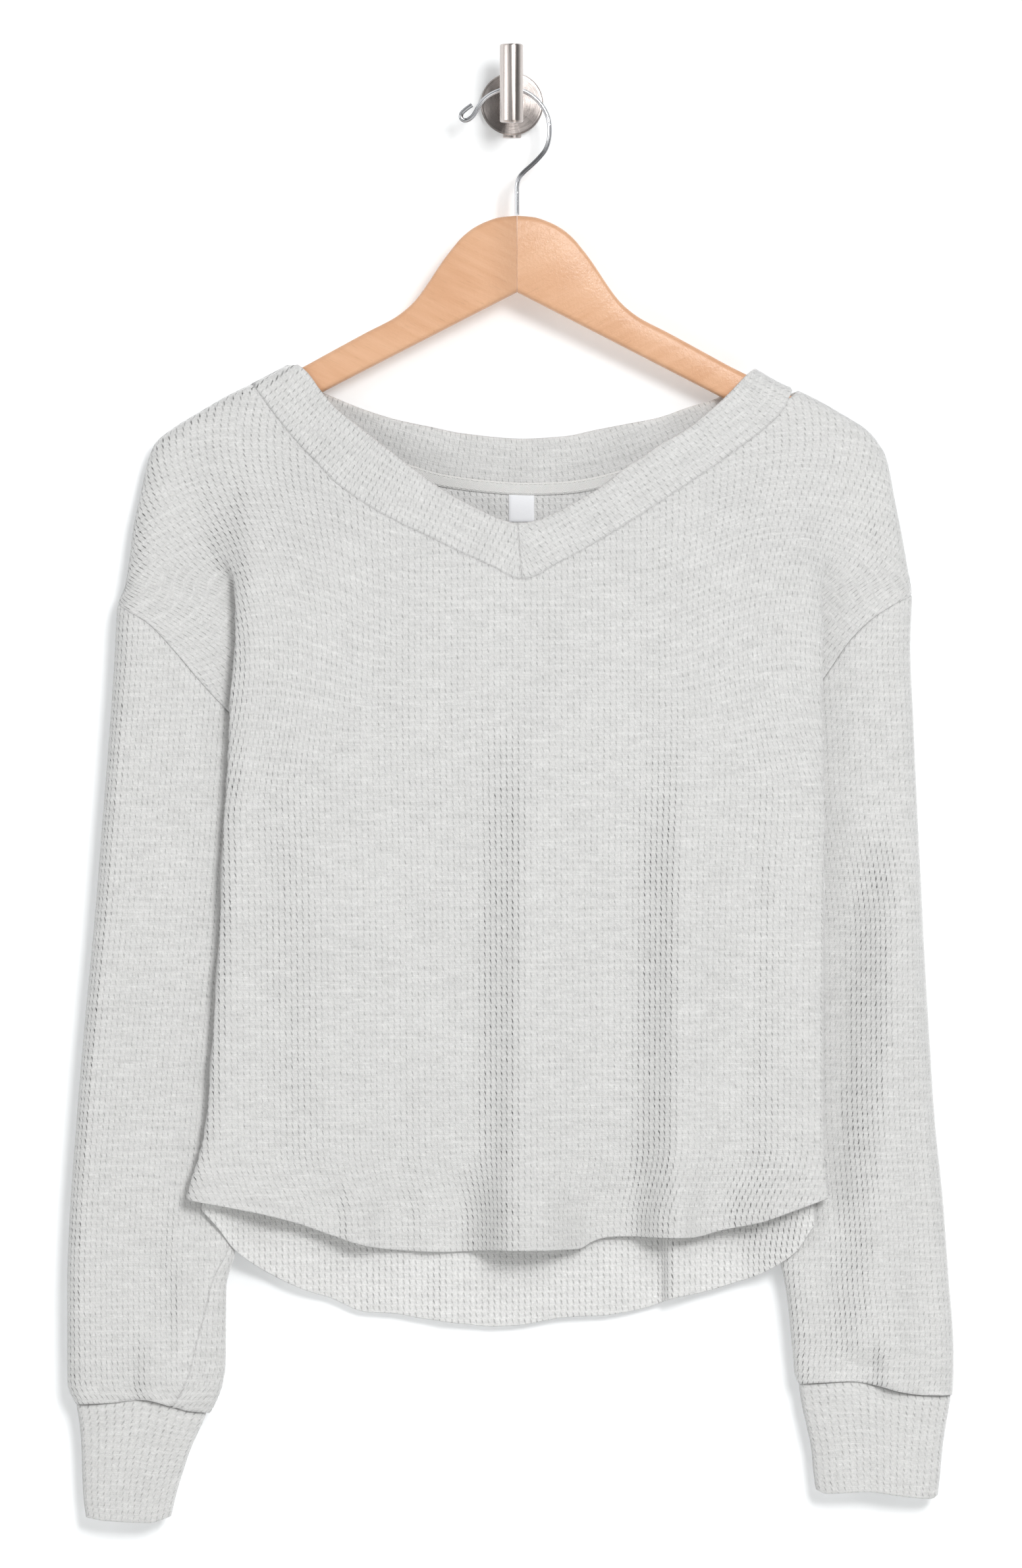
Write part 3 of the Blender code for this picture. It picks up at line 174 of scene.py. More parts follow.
# Depth of that crease and edge, and of the front and the back beside them.
EDGE_DEPTH = table(
    "z seam edge front back", (-160.6, -26, -27, -28, -11), (-174, -26, -27, -28, -11),
    (-192, -26, -27, -28, -10), (-210, -26, -28, -30, -9), (-241.6, -26.5, -30, -33, -9),
    (-261.9, -27, -33, -37, -9), (-282.1, -28.5, -36, -41, -10), (-292.2, -30, -37, -43, -11),
    (-302.4, -31, -38, -43.5, -12), (-322.6, -32, -39, -44, -14), (-342.9, -32.5, -39.5, -44, -17),
    (-367.2, -33, -39.5, -44, -21), (-391.4, -33.5, -39.5, -44, -28), (-403.6, -34, -39.5, -44, -33))
# The same edge below the underarm, where the crease has become the side seam.
FLANK = {
    -1: table(
        "z x tuck", (-403.6, -173.7, 43), (-413.7, -174.4, 33), (-424, -175.2, 25), (-444.1, -176.8, 18),
        (-504.9, -179, 11), (-545.4, -181.6, 9.5), (-585.9, -184.1, 9.5), (-626.4, -187.5, 9.5),
        (-646.6, -191.4, 9.5), (-666.9, -197.8, 9.5), (-676, -199.6, 9.5), (-760, -206, 9.5)),
    1: table(
        "z x tuck", (-403.6, 190.5, 40), (-413.7, 190.8, 31), (-424, 191, 24), (-444.1, 191.4, 17),
        (-504.9, 191.4, 10.5), (-600, 191.4, 9.5), (-646.6, 192, 9.5), (-674, 194.8, 9.5),
        (-760, 198, 9.5)),
}
FLANK_DEPTH = table(
    "z seam edge front back", (-403.6, -34, -39.5, -44, -34), (-620, -33.5, -38.5, -41.5, -33.5),
    (-760, -33, -36.5, -37, -33))

# Inner edge of each sleeve below the underarm, its depth, and how the middle dips.
INNER = {
    -1: table(
        "z x edge dip", (-403.6, -130.7, -31.5, 0), (-424, -136.7, -26, 0), (-464.4, -146.8, -21, 0.5),
        (-504.9, -152.9, -19, 1.5), (-545.4, -157, -18, 2), (-585.9, -160.2, -18, 1.5),
        (-626.4, -163, -18, 0.5), (-666.9, -166.7, -18, 0), (-706.6, -171.3, -18, 0.5),
        (-730, -177, -18, 1.5), (-777.5, -177.6, -17.5, -2), (-789, -179.2, -17.5, -1),
        (-800, -183, -17, 0), (-812, -190, -17, 0)),
    1: table(
        "z x edge dip", (-403.6, 150.5, -31.5, 0), (-424, 151.5, -26, 0), (-464.4, 154.5, -21, 1.5),
        (-504.9, 156, -19, 3), (-545.4, 157, -18, 4), (-585.9, 158, -18, 4), (-626.4, 159.8, -18, 3),
        (-666.9, 162.2, -18, 2.5), (-706.6, 165, -18, 1), (-733.4, 170.3, -18, 2.5),
        (-768.6, 173.9, -17.5, 2), (-784.8, 175.6, -17.5, 0), (-791, 178.4, -17, 0), (-812, 182, -17, 0)),
}
# Armhole seam as seen from the front, from the outer edge down to the underarm.
ARMHOLE = {
    -1: table(
        "z x", (-309.7, -242), (-311.2, -239.6), (-313.5, -236), (-321, -224), (-336.8, -208.8),
        (-355, -193.4), (-376.5, -173), (-394.7, -149), (-403.6, -130.7)),
    1: table(
        "z x", (-303.6, 245.5), (-305.2, 242.8), (-309, 236), (-318, 222), (-331, 208.5), (-349, 195.8),
        (-371, 181), (-393, 165), (-403.6, 150.5)),
}
# Seam between the front and the neckband, and the open edge of the neckband.
FRONT_NECK = table(
    "x z", (-159.4, -174), (-151.7, -184.9), (-141.9, -197.9), (-131.4, -210.4), (-120.5, -221.8),
    (-108.7, -234.3), (-92.1, -246.5), (-73.5, -257.4), (-52.9, -267.1), (-32.2, -277.3), (-13.2, -285.8),
    (6, -294.2), (30.6, -282.9), (51.2, -271.6), (71.9, -259), (92.5, -245.6), (113.2, -231.9),
    (133.9, -217.3), (154.5, -201.9), (167.1, -189), (172.3, -178.4))
FRONT_RIM = table(
    "x z", (-133.9, -160.6), (-126, -167.5), (-118.1, -178.4), (-108.7, -189), (-92.1, -202.3),
    (-73.5, -216.9), (-64.2, -224.2), (-39.5, -241.6), (-19, -252.4), (-7.3, -257.8), (3.6, -260.2),
    (15, -258.8), (26.7, -253.8), (46, -243.5), (58.9, -235.1), (69.3, -226.6), (79.6, -220.1),
    (92.5, -211.2), (107.9, -202.1), (120.9, -191.8), (131.8, -182.1), (145.6, -167.9), (149.2, -164.7))
BACK_NECK = table(
    "x z", (-159.4, -174), (-140.7, -191), (-112.4, -206.8), (-88.1, -216.5), (-63.4, -224.2),
    (-42.7, -230.3), (-11.5, -234.3), (9.1, -235.5), (33.4, -234.7), (51.2, -231.9), (69.9, -227),
    (94.2, -219), (122.5, -208.4), (150.9, -193.8), (172.3, -178.4))
BACK_RIM = table(
    "x z", (-133.9, -160.6), (-118.1, -178.4), (-110.8, -181.7), (-92.1, -189.4), (-71.5, -195.9),
    (-50.8, -200.3), (-30.2, -204.4), (7.1, -207.6), (33.4, -206), (51.2, -202.3), (69.9, -198.7),
    (90.5, -194.6), (111.2, -187.4), (125.8, -182.9), (137, -175), (149.2, -164.7))
# Shirt-tail hems: height of the edge across the body.
FRONT_HEM = table(
    "x z", (-206, -672), (-199.3, -674.2), (-172.7, -679.5), (-152.1, -683.9), (-131.6, -689.5),
    (-112.4, -696.4), (-87.3, -704.1), (-72.7, -706.3), (-40.3, -707.8), (-7.9, -705.9), (40.7, -705.7),
    (49.6, -701.3), (56.9, -698.9), (70.3, -698.1), (110, -698.1), (130.6, -693.4), (151.3, -689),
    (171.9, -681.9), (191.4, -674.6), (198, -672.5))
BACK_HEM = table(
    "x z", (-206, -672), (-199.3, -674.2), (-188.9, -683.1), (-180, -693.2), (-171.3, -705.1),
    (-161, -713.8), (-143.3, -724.3), (-125.8, -732), (-112.4, -736.1), (-90.3, -745), (-72.7, -745.9),
    (-54.9, -749.1), (-25.5, -752.8), (-10.7, -754), (3.8, -753.2), (33.4, -748.3), (56.9, -747.1),
    (71.7, -744.9), (87.9, -740.8), (99.7, -736.1), (115.9, -733.1), (133.4, -728), (151.3, -721.9),
    (165.8, -713.8), (174.8, -706.6), (183.7, -693.4), (189.5, -684.5), (198, -672.5))
# Soft folds down the body, each one x_top, x_hem, z_start, z_full, height, left, right: the crest's x
# near the top and at the hem, the heights where the fold starts and is full, how far it stands out,
# and how far it reaches to the left and to the right.
FRONT_FOLDS = (
    (-120, -106, -330, -520, 7, 46, 44),
    (18, 9, -330, -480, 9, 30, 52),
    (104, 98, -350, -500, 8, 24, 50),
    (168, 165, -300, -420, 2, 30, 18),
)
BACK_FOLDS = (
    (-90, -104, -420, -620, 2.5, 30, 40),
    (70, 92, -420, -620, 2.5, 44, 20),
)
# Narrower folds and creases of both skins, in the same words; a negative height on the back
# stands out towards the front.
CREASES = {
    "front": (
        (-2, 0, -310, -560, 3.4, 23, 32),
        (112, 101, -330, -580, 3.6, 24, 30),
        (-60, -52, -520, -660, 2, 16, 26),
    ),
    "back": (
        (101, 98, -650, -712, -10, 6, 22),
        (-36, -40, -650, -740, -2, 14, 20),
    ),
}
# The front lies back against the back along its hem, but for the stretches where it lifts: the x of
# their middle, their reach, and their share of the lift.
HEM_PRESS, HEM_PRESS_TOP, HEM_PRESS_FULL = 6.0, -640.0, -690.0
HEM_LIFTS = ((-178, 66, 2.2), (-94, 14, 0.7), (9, 42, 2.7), (97, 22, 1.2), (172, 56, 1.6))
# Soft folds down the front of each sleeve: x_top, x_foot, z_top, z_foot, height, left, right.
SLEEVE_FOLDS = {
    -1: ((-228, -221, -735, -812, 5, 10, 26),
         (-206, -200, -640, -812, 2.5, 12, 16)),
    1: ((243, 219, -420, -780, 9, 30, 28),
        (241, 229, -680, -812, 5.5, 11, 24)),
}
# Middle of the body: depth of the front and of the back skin.
MIDDLE = table(
    "z front back", (-160.6, -30, -14), (-210, -33, -13), (-260, -40, -12.5), (-294, -44, -12),
    (-350, -46, -11.5), (-450, -43, -11), (-600, -34, -10), (-680, -22, -9), (-760, -14, -8))


def folds_height(folds, x, z):
    """Summed height of the soft folds at (x, z)."""
    height = np.zeros(np.broadcast(x, z).shape)
    for x_top, x_hem, z_start, z_full, rise, left, right in folds:
        down = np.clip((z_start - z) / (z_start - FOLD_FOOT_Z), 0, 1)
        away = x - (x_top + (x_hem - x_top) * down)
        side = np.where(away < 0, 1 + away / left, 1 - away / right)
        height = height + rise * ease(side) * ease((z_start - z) / (z_start - z_full))
    return height


def sleeve_folds_height(side, x, z):
    """Summed height of the soft folds of a sleeve at (x, z)."""
    height = np.zeros(np.broadcast(x, z).shape)
    for x_top, x_foot, z_top, z_foot, rise, left, right in SLEEVE_FOLDS[side]:
        away = x - (x_top + (x_foot - x_top) * np.clip((z_top - z) / (z_top - z_foot), 0, 1))
        across = np.where(away < 0, 1 + away / left, 1 - away / right)
        along = np.minimum((z_top - z) / SLEEVE_FOLD_RISE, (z - z_foot) / SLEEVE_FOLD_FADE)
        height = height + rise * ease(across) * ease(along)
    return height


def arm_depth(x):
    """Depth of the middle of the hanger's arm."""
    return HOOK_DEPTH + TIP_SWEEP * np.abs(x - HANGER_X) / TIP_X


def lying(x, face):
    """Depth of cloth that lies on the front or the back of the hanger's arm."""
    return arm_depth(x) + (-1 if face == "front" else 1) * (ARM_THICK / 2 + REST + CLOTH / 2)


def below_ridge(x, z):
    """Height of the shoulder line over the point (x, z)."""
    run = np.abs(x - SHOULDER_MIDDLE_X)
    return (NECK_TOP_Z - SHOULDER_SLOPE * (run - NECK_TOP_HALF)) - z


def half_section(side, z, face):
    """Stations 0 to 8 at heights z, for the left (-1) or right (1) side of one face."""
    front = face == "front"
    sleeve = z < UNDERARM_Z
    outer_x = read(OUTER[side], "x", z)
    near, full = SIDE_TURN
    on_arm = ease((z - ARM_END_Z) / ARM_END_BLEND)
    outer_y = read(HANG, "edge", z) * (1 - on_arm) + arm_depth(outer_x) * on_arm
    cloth_y = read(HANG, face, z) * (1 - on_arm) + lying(outer_x - side * full, face) * on_arm
    edge_x, tuck = (np.where(sleeve, read(FLANK[side], name, z), read(EDGE[side], name, z))
                    for name in ("x", "tuck"))
    crease_x = edge_x - side * tuck
    seam_y, edge_y, body_y, behind_y = (
        np.where(sleeve, read(FLANK_DEPTH, name, z), read(EDGE_DEPTH, name, z))
        for name in ("seam", "edge", "front", "back"))
    crease_y = seam_y if front else behind_y
    turn_x = crease_x + side * CREASE_TURN[face]
    if front:
        inward = [turn_x, (crease_x + edge_x) / 2, edge_x, edge_x - side * BODY_TURN]
        depths = [cloth_y * 0.75 + crease_y * 0.25, (crease_y + edge_y) / 2, edge_y, body_y]
    else:
        middle = read(MIDDLE, "back", z)
        inward = [turn_x, *(crease_x - side * step for step in BACK_INWARD)]
        depths = [cloth_y * 0.6 + crease_y * 0.4, crease_y * 0.92 + middle * 0.08,
                  crease_y * 0.6 + middle * 0.4, crease_y * 0.2 + middle * 0.8]
    turn = np.where(sleeve, crease_x + side * SEAM_TURN[0], turn_x)
    turn_y = np.where(sleeve, crease_y + (SEAM_TURN[1] if front else -SEAM_TURN[1]), depths[0])
    x = [outer_x, outer_x - side * near, outer_x - side * full,
         (outer_x - side * full + turn_x) / 2, turn, crease_x, *inward[1:]]
    y = [outer_y, outer_y * SIDE_SHARE + cloth_y * (1 - SIDE_SHARE), cloth_y, cloth_y, turn_y, crease_y,
         *depths[1:]]
    return np.stack(x, 1), np.stack(y, 1)


def section(z, face):
    """Stations of a whole section at heights z: arrays of x and y, one row per height."""
    z = np.atleast_1d(np.asarray(z, dtype=float))
    left_x, left_y = half_section(-1, z, face)
    right_x, right_y = half_section(1, z, face)
    share = np.linspace(0, 1, ACROSS + 1)[1:-1]
    x = left_x[:, -1:] * (1 - share) + right_x[:, -1:] * share
    bow = 1 - np.abs(2 * share - 1) ** BOW
    ends = left_y[:, -1:] * (1 - share) + right_y[:, -1:] * share
    y = ends + (read(MIDDLE, face, z)[:, None] - ends) * bow
    height = z[:, None]
    if face == "front":
        y = y - folds_height(FRONT_FOLDS, x, height)
    else:
        y = y + folds_height(BACK_FOLDS, x, height)
    x = np.concatenate([left_x, x, right_x[:, ::-1]], 1)
    y = np.concatenate([left_y, y, right_y[:, ::-1]], 1)
    # Near the shoulder line the cloth lies on the hanger's arm and only then falls free.
    free = ease((below_ridge(x, height) - CLINGS) / FALLS_FREE)
    lie = lying(x, face)
    held = np.arange(x.shape[1])
    held = (held > 2) & (held < LAST - 2)
    y = np.where(held, lie + (y - lie) * free, y)
    return x, y


def curve_through(points, steps):
    """A Catmull-Rom curve through each row of points, with so many samples between two of them."""
    padded = np.concatenate([points[..., :1, :] * 2 - points[..., 1:2, :], points,
                             points[..., -1:, :] * 2 - points[..., -2:-1, :]], -2)
    a, b, c, d = (padded[..., k:k + points.shape[-2] - 1, :] for k in range(4))
    rows = [0.5 * (2 * b + (c - a) * s + (2 * a - 5 * b + 4 * c - d) * s ** 2
                   + (3 * b - a - 3 * c + d) * s ** 3) for s in np.arange(steps) / steps]
    fine = np.stack(rows, -2).reshape(*points.shape[:-2], -1, points.shape[-1])
    return np.concatenate([fine, points[..., -1:, :]], -2)


def smooth_line(x, y):
    """Points along each row of stations, with STEPS samples a station."""
    return curve_through(np.stack([x, y], 2), STEPS)


def lengths_along(points):
    """Distance from the first point of each row to every point of it."""
    steps = np.linalg.norm(np.diff(points, axis=-2), axis=-1)
    return np.concatenate([np.zeros(steps.shape[:-1] + (1,)), np.cumsum(steps, axis=-1)], -1)


def run_on(at, known, values):
    """Interpolate, running straight on past both ends."""
    first = (values[1] - values[0]) / (known[1] - known[0])
    last = (values[-1] - values[-2]) / (known[-1] - known[-2])
    inside = np.interp(at, known, values)
    inside = np.where(at < known[0], values[0] + (at - known[0]) * first, inside)
    return np.where(at > known[-1], values[-1] + (at - known[-1]) * last, inside)


class Surface:
    """A smooth sheet kept as a table of points: a row for each level, top to bottom, and a
    column for each distance along the cloth."""

    LEVEL_STEP = 2.0
    REACH_STEP = 1.5

    def __init__(self, levels, lines, along, reach, flip):
        self.levels, self.lines, self.along = levels, lines, along
        self.reach = np.arange(-reach, reach + 0.1, self.REACH_STEP)
        rows = [[run_on(self.reach, known, line[:, k]) for k in (0, 1)] for known, line in zip(along, lines)]
        xy = np.array(rows).transpose(0, 2, 1)
        height = np.broadcast_to(levels[:, None, None], xy.shape[:2] + (1,))
        self.grid = np.concatenate([xy, height], 2)
        normals = np.cross(np.gradient(self.grid, axis=1), np.gradient(self.grid, axis=0))
        normals *= -1 if flip else 1
        self.normals = normals / np.linalg.norm(normals, axis=2, keepdims=True)

    def look_up(self, source, along, z):
        """Read the table between its points."""
        row = (self.levels[0] - z) / self.LEVEL_STEP
        column = (along - self.reach[0]) / self.REACH_STEP
        i = np.clip(np.floor(row).astype(int), 0, source.shape[0] - 2)
        j = np.clip(np.floor(column).astype(int), 0, source.shape[1] - 2)
        down, across = (row - i)[:, None], (column - j)[:, None]
        upper = source[i, j] * (1 - across) + source[i, j + 1] * across
        lower = source[i + 1, j] * (1 - across) + source[i + 1, j + 1] * across
        return upper * (1 - down) + lower * down

    def place(self, along, z):
        return self.look_up(self.grid, along, z)

    def facing(self, along, z):
        normals = self.look_up(self.normals, along, z)
        return normals / np.linalg.norm(normals, axis=1, keepdims=True)

    def rows_at(self, z):
        """The two rows on either side of a height, and the share of the lower one."""
        row = min(max((self.levels[0] - z) / self.LEVEL_STEP, 0), len(self.levels) - 1.001)
        return int(row), row - int(row)


class Skin(Surface):
    """The front or the back of the body, from one outer edge to the other."""

    TOP, FOOT, REACH = -158.0, -763.0, 330.0
    NEAR_MIDDLE = 40       # samples on each side of the middle, where x grows all the way
    LIFT_EDGE = 1.3        # over 1 a lifted stretch of the hem keeps its height near its middle

    def __init__(self, face):
        levels = np.arange(self.TOP, self.FOOT, -self.LEVEL_STEP)
        lines = smooth_line(*section(levels, face))
        x, z = lines[..., 0], levels[:, None]
        towards = -1 if face == "front" else 1
        lines[..., 1] += towards * folds_height(CREASES[face], x, z)
        if face == "front":
            lifted = np.zeros(x.shape)
            for middle, reach, share in HEM_LIFTS:
                lifted = np.maximum(lifted, share * ease(self.LIFT_EDGE * (1 - np.abs(x - middle) / reach)))
            press = ease((HEM_PRESS_TOP - z) / (HEM_PRESS_TOP - HEM_PRESS_FULL))
            lines[..., 1] += HEM_PRESS * press * (1 - lifted)
        along = lengths_along(lines)
        half = lines.shape[1] // 2
        middle = slice(half - self.NEAR_MIDDLE, half + self.NEAR_MIDDLE)
        for row, line in zip(along, lines):
            row -= np.interp(CENTRE_X, line[middle, 0], row[middle])
        super().__init__(levels, lines, along, self.REACH, face == "front")

    def station(self, number, z):
        """Distance along the cloth of a station at one height."""
        row, lower = self.rows_at(z)
        column = number * STEPS
        return self.along[row, column] * (1 - lower) + self.along[row + 1, column] * lower

    def along_of(self, x, z, side=0):
        """Distance along the cloth of a place x; with a side, between outer edge and crease."""
        row, lower = self.rows_at(z)
        count = self.lines.shape[1]
        turn = CREASE * STEPS + 1
        span = {0: slice(0, count), -1: slice(0, turn), 1: slice(count - turn, count)}[side]
        upper, under = (np.interp(x, np.maximum.accumulate(self.lines[k, span, 0]), self.along[k, span])
                        for k in (row, row + 1))
        return upper * (1 - lower) + under * lower

    def side_edge(self, side, z):
        """Distance along the cloth of the panel's own edge on one side."""
        outer, crease = (0, CREASE) if side < 0 else (LAST, LAST - CREASE)
        if z >= ARMHOLE_TOP_Z[side]:
            return self.station(outer, z)
        if z <= UNDERARM_Z:
            return self.station(crease, z)
        return self.along_of(float(read(ARMHOLE[side], "x", z)), z, side)


class Tube(Surface):
    """A sleeve, measured from its outer edge: forwards round the front, backwards round the back."""

    TOP, FOOT, REACH = -296.0, -815.0, 165.0
    HALF = 30              # samples from the outer edge to the seam station on each face
    PAST = 20              # samples repeated past the seam at both ends of a ring
    JOIN = 26.0            # the shape above the underarm fades out over this height below it

    def __init__(self, side):
        levels = np.arange(self.TOP, self.FOOT, -self.LEVEL_STEP)
        upper = levels >= UNDERARM_Z
        joined = []
        for face in ("front", "back"):
            x, y = section(levels[upper], face)
            picked = slice(0, 7) if side < 0 else slice(LAST, LAST - 7, -1)
            joined.append(np.stack([x[:, picked], y[:, picked]], 2))
        over = np.concatenate([joined[0][:, ::-1], joined[1][:, 1:]], 1)
        over = smooth_line(over[..., 0], over[..., 1])[:, STEPS:-STEPS]
        ring = self.ring(side, levels[~upper])
        # The last section above the underarm fades into the rings below it.
        fade = 1 - ease((UNDERARM_Z - levels[~upper]) / self.JOIN)
        ring = ring + (over[-1] - self.ring(side, np.array([UNDERARM_Z]))[0]) * fade[:, None, None]
        lines = np.concatenate([over, ring])
        front = lines[:, :self.HALF + 1]
        edge = ease(np.arange(self.HALF + 1)[::-1] / 4.0) * ease(np.arange(self.HALF + 1) / 6.0)
        front[..., 1] -= sleeve_folds_height(side, front[..., 0], levels[:, None]) * edge
        along = lengths_along(lines)
        along = along[:, self.HALF:self.HALF + 1] - along          # the front is positive
        self.front_end, self.back_end = along[:, 0].copy(), along[:, -1].copy()
        lines, along = lines[:, ::-1], along[:, ::-1]
        round_lines, round_along = [], []
        for line, places, top in zip(lines, along, levels >= UNDERARM_Z):
            if top:
                ends = [line[:1] * 2 - line[1:2], line[-1:] * 2 - line[-2:-1]]
                marks = [places[:1] * 2 - places[1:2], places[-1:] * 2 - places[-2:-1]]
            else:
                girth = places[-1] - places[0]
                before, after = slice(-self.PAST - 1, -1), slice(1, self.PAST + 1)
                ends = [line[before], line[after]]
                marks = [places[before] - girth, places[after] + girth]
            round_lines.append(np.concatenate([ends[0], line, ends[1]]))
            round_along.append(np.concatenate([marks[0], places, marks[1]]))
        super().__init__(levels, round_lines, round_along, self.REACH, side < 0)

    @staticmethod
    def ring(side, z):
        """Lines round the sleeve below the underarm: front seam, outer edge, back seam."""
        outer_x, outer_y = read(OUTER[side], "x", z), read(HANG, "edge", z)
        inner_x, inner_y = read(INNER[side], "x", z), read(INNER[side], "edge", z)
        near, full = SIDE_TURN
        half = []
        for face in ("front", "back"):
            cloth_y = read(HANG, face, z)
            dip = read(INNER[side], "dip", z) * (face == "front")
            x = [outer_x, outer_x - side * near, outer_x - side * full, (outer_x + inner_x) / 2,
                 inner_x + side * INNER_TURN, inner_x]
            y = [outer_y, outer_y * SIDE_SHARE + cloth_y * (1 - SIDE_SHARE), cloth_y, cloth_y + dip,
                 cloth_y * 0.8 + inner_y * 0.2, inner_y]
            half.append(np.stack([np.stack(x, 1), np.stack(y, 1)], 2))
        front, back = half
        loop = np.concatenate([back[:, 4:5], front[:, ::-1], back[:, 1:], front[:, 4:5]], 1)
        return smooth_line(loop[..., 0], loop[..., 1])[:, STEPS:-STEPS]

    def end(self, face, z):
        """Distance from the outer edge to the underarm seam's own fold on one face."""
        ends = self.front_end if face == "front" else self.back_end
        return np.interp(-z, -self.levels, ends)


# ---------------- nets of knitted cloth
EDGE_FREE = 0.45       # no point of the lattice is nearer to the outline than this, in half cells


def waffle(column, row):
    """Height of the knit where half cells meet: 1 on a crossing of two ridges, -1 in a pit."""
    return np.where(column % 2, np.where(row % 2, -1.0, 0.1), np.where(row % 2, 0.75, 1.0))


def flat_net(outline, cell, step=1):
    """Fill an outline on the flat cloth with a lattice of half cells and a fitted border.

    Returns the points, the outline's first, then the faces and the height of the waffle at
    each point, from -1 in a pit to 1 on a crossing of two ridges.
    """
    outline = np.asarray(outline, dtype=float)
    spacing = np.array(cell) / 2 * step
    low = np.floor(outline.min(0) / spacing).astype(int) - 2
    high = np.ceil(outline.max(0) / spacing).astype(int) + 2
    columns, rows = (np.arange(low[k], high[k] + 1) for k in (0, 1))
    ends = np.roll(outline, -1, 0)
    keep = np.zeros((len(rows), len(columns)), bool)
    for r, row in enumerate(rows):
        level = row * spacing[1] + 1e-6
        crossed = (outline[:, 1] > level) != (ends[:, 1] > level)
        a, b = outline[crossed], ends[crossed]
        x = np.sort(a[:, 0] + (level - a[:, 1]) * (b[:, 0] - a[:, 0]) / (b[:, 1] - a[:, 1]))
        keep[r] = np.searchsorted(x, columns * spacing[0]) % 2 == 1
    dense = np.concatenate([outline + (ends - outline) * share for share in np.arange(0, 1, 0.1)]) / spacing
    nearest = np.round(dense).astype(int)
    for shift in np.ndindex(3, 3):
        spot = nearest + np.array(shift) - 1
        close = np.linalg.norm(spot - dense, axis=1) < EDGE_FREE
        keep[spot[close, 1] - low[1], spot[close, 0] - low[0]] = False
    full = keep[:-1, :-1] & keep[1:, :-1] & keep[:-1, 1:] & keep[1:, 1:]
    count = len(outline)
    number = np.full(keep.shape, -1)
    number[keep] = count + np.arange(keep.sum())
    r, c = np.nonzero(keep)
    points = np.concatenate([outline, np.stack([c + low[0], r + low[1]], 1) * spacing])
    height = waffle(c + low[0], r + low[1]) if step == 1 else np.zeros(len(r))
    height = np.concatenate([np.zeros(count), height])
    r, c = np.nonzero(full)
    faces = np.stack([number[r, c], number[r, c + 1], number[r + 1, c + 1], number[r + 1, c]], 1)

    # The border between the outline and the stepped edge of the full cells.
    wide = np.pad(full, 1)
    r, c = np.nonzero(wide[1:, 1:-1] != wide[:-1, 1:-1])
    steps = [np.stack([number[r, c], number[r, c + 1]], 1)]
    r, c = np.nonzero(wide[1:-1, 1:] != wide[1:-1, :-1])
    steps.append(np.stack([number[r, c], number[r + 1, c]], 1))
    steps = np.concatenate(steps)
    loose = np.setdiff1d(number[keep], faces)
    used = np.concatenate([np.arange(count), np.unique(steps), loose])
    local = np.full(len(points), -1)
    local[used] = np.arange(len(used))
    loop = np.stack([np.arange(count), np.roll(np.arange(count), -1)], 1)
    edges = [(int(local[a]), int(local[b])) for a, b in np.concatenate([loop, steps])]
    made = delaunay_2d_cdt([Vector(points[k]) for k in used], edges, [], 0, 1e-6)
    back = [used[source[0]] if source else -1 for source in made[3]]
    border = np.array([[back[k] for k in face] for face in made[2]])
    border = border[(border >= 0).all(1)]
    centre = points[border].mean(1)
    cell_of = np.floor(centre / spacing).astype(int) - low
    column, row = (np.clip(cell_of[:, k], 0, full.shape[1 - k] - 1) for k in (0, 1))
    outside = ~full[row, column]
    border = border[outside & within(centre, outline)]
    return points, faces, border, height


def twice_area(outline):
    """Twice the area inside an outline, below zero where it runs clockwise."""
    x, y = outline.T
    return np.sum(x * np.roll(y, -1) - y * np.roll(x, -1))


def outwards(outline):
    """Unit steps off an outline, away from its inside."""
    ahead = np.roll(outline, -1, 0) - np.roll(outline, 1, 0)
    push = np.stack([ahead[:, 1], -ahead[:, 0]], 1) / np.linalg.norm(ahead, axis=1, keepdims=True)
    return push * np.sign(twice_area(outline))


def within(points, outline):
    """Which points lie inside a closed outline."""
    ends = np.roll(outline, -1, 0)
    inside = np.zeros(len(points), bool)
    for a, b in zip(outline, ends):
        if a[1] == b[1]:
            continue
        crossed = (a[1] > points[:, 1]) != (b[1] > points[:, 1])
        inside ^= crossed & (points[:, 0] < a[0] + (points[:, 1] - a[1]) * (b[0] - a[0]) / (b[1] - a[1]))
    return inside


def away_from(points, marks):
    """Distance from each point to the nearest mark, as far as matters near a seam."""
    nearest = np.full(len(points), 1e3)
    if not len(marks):
        return nearest
    for start in range(0, len(points), 4000):
        part = points[start:start + 4000]
        gaps = part[:, None] - marks[None]
        nearest[start:start + 4000] = np.sqrt((gaps ** 2).sum(2).min(1))
    return nearest


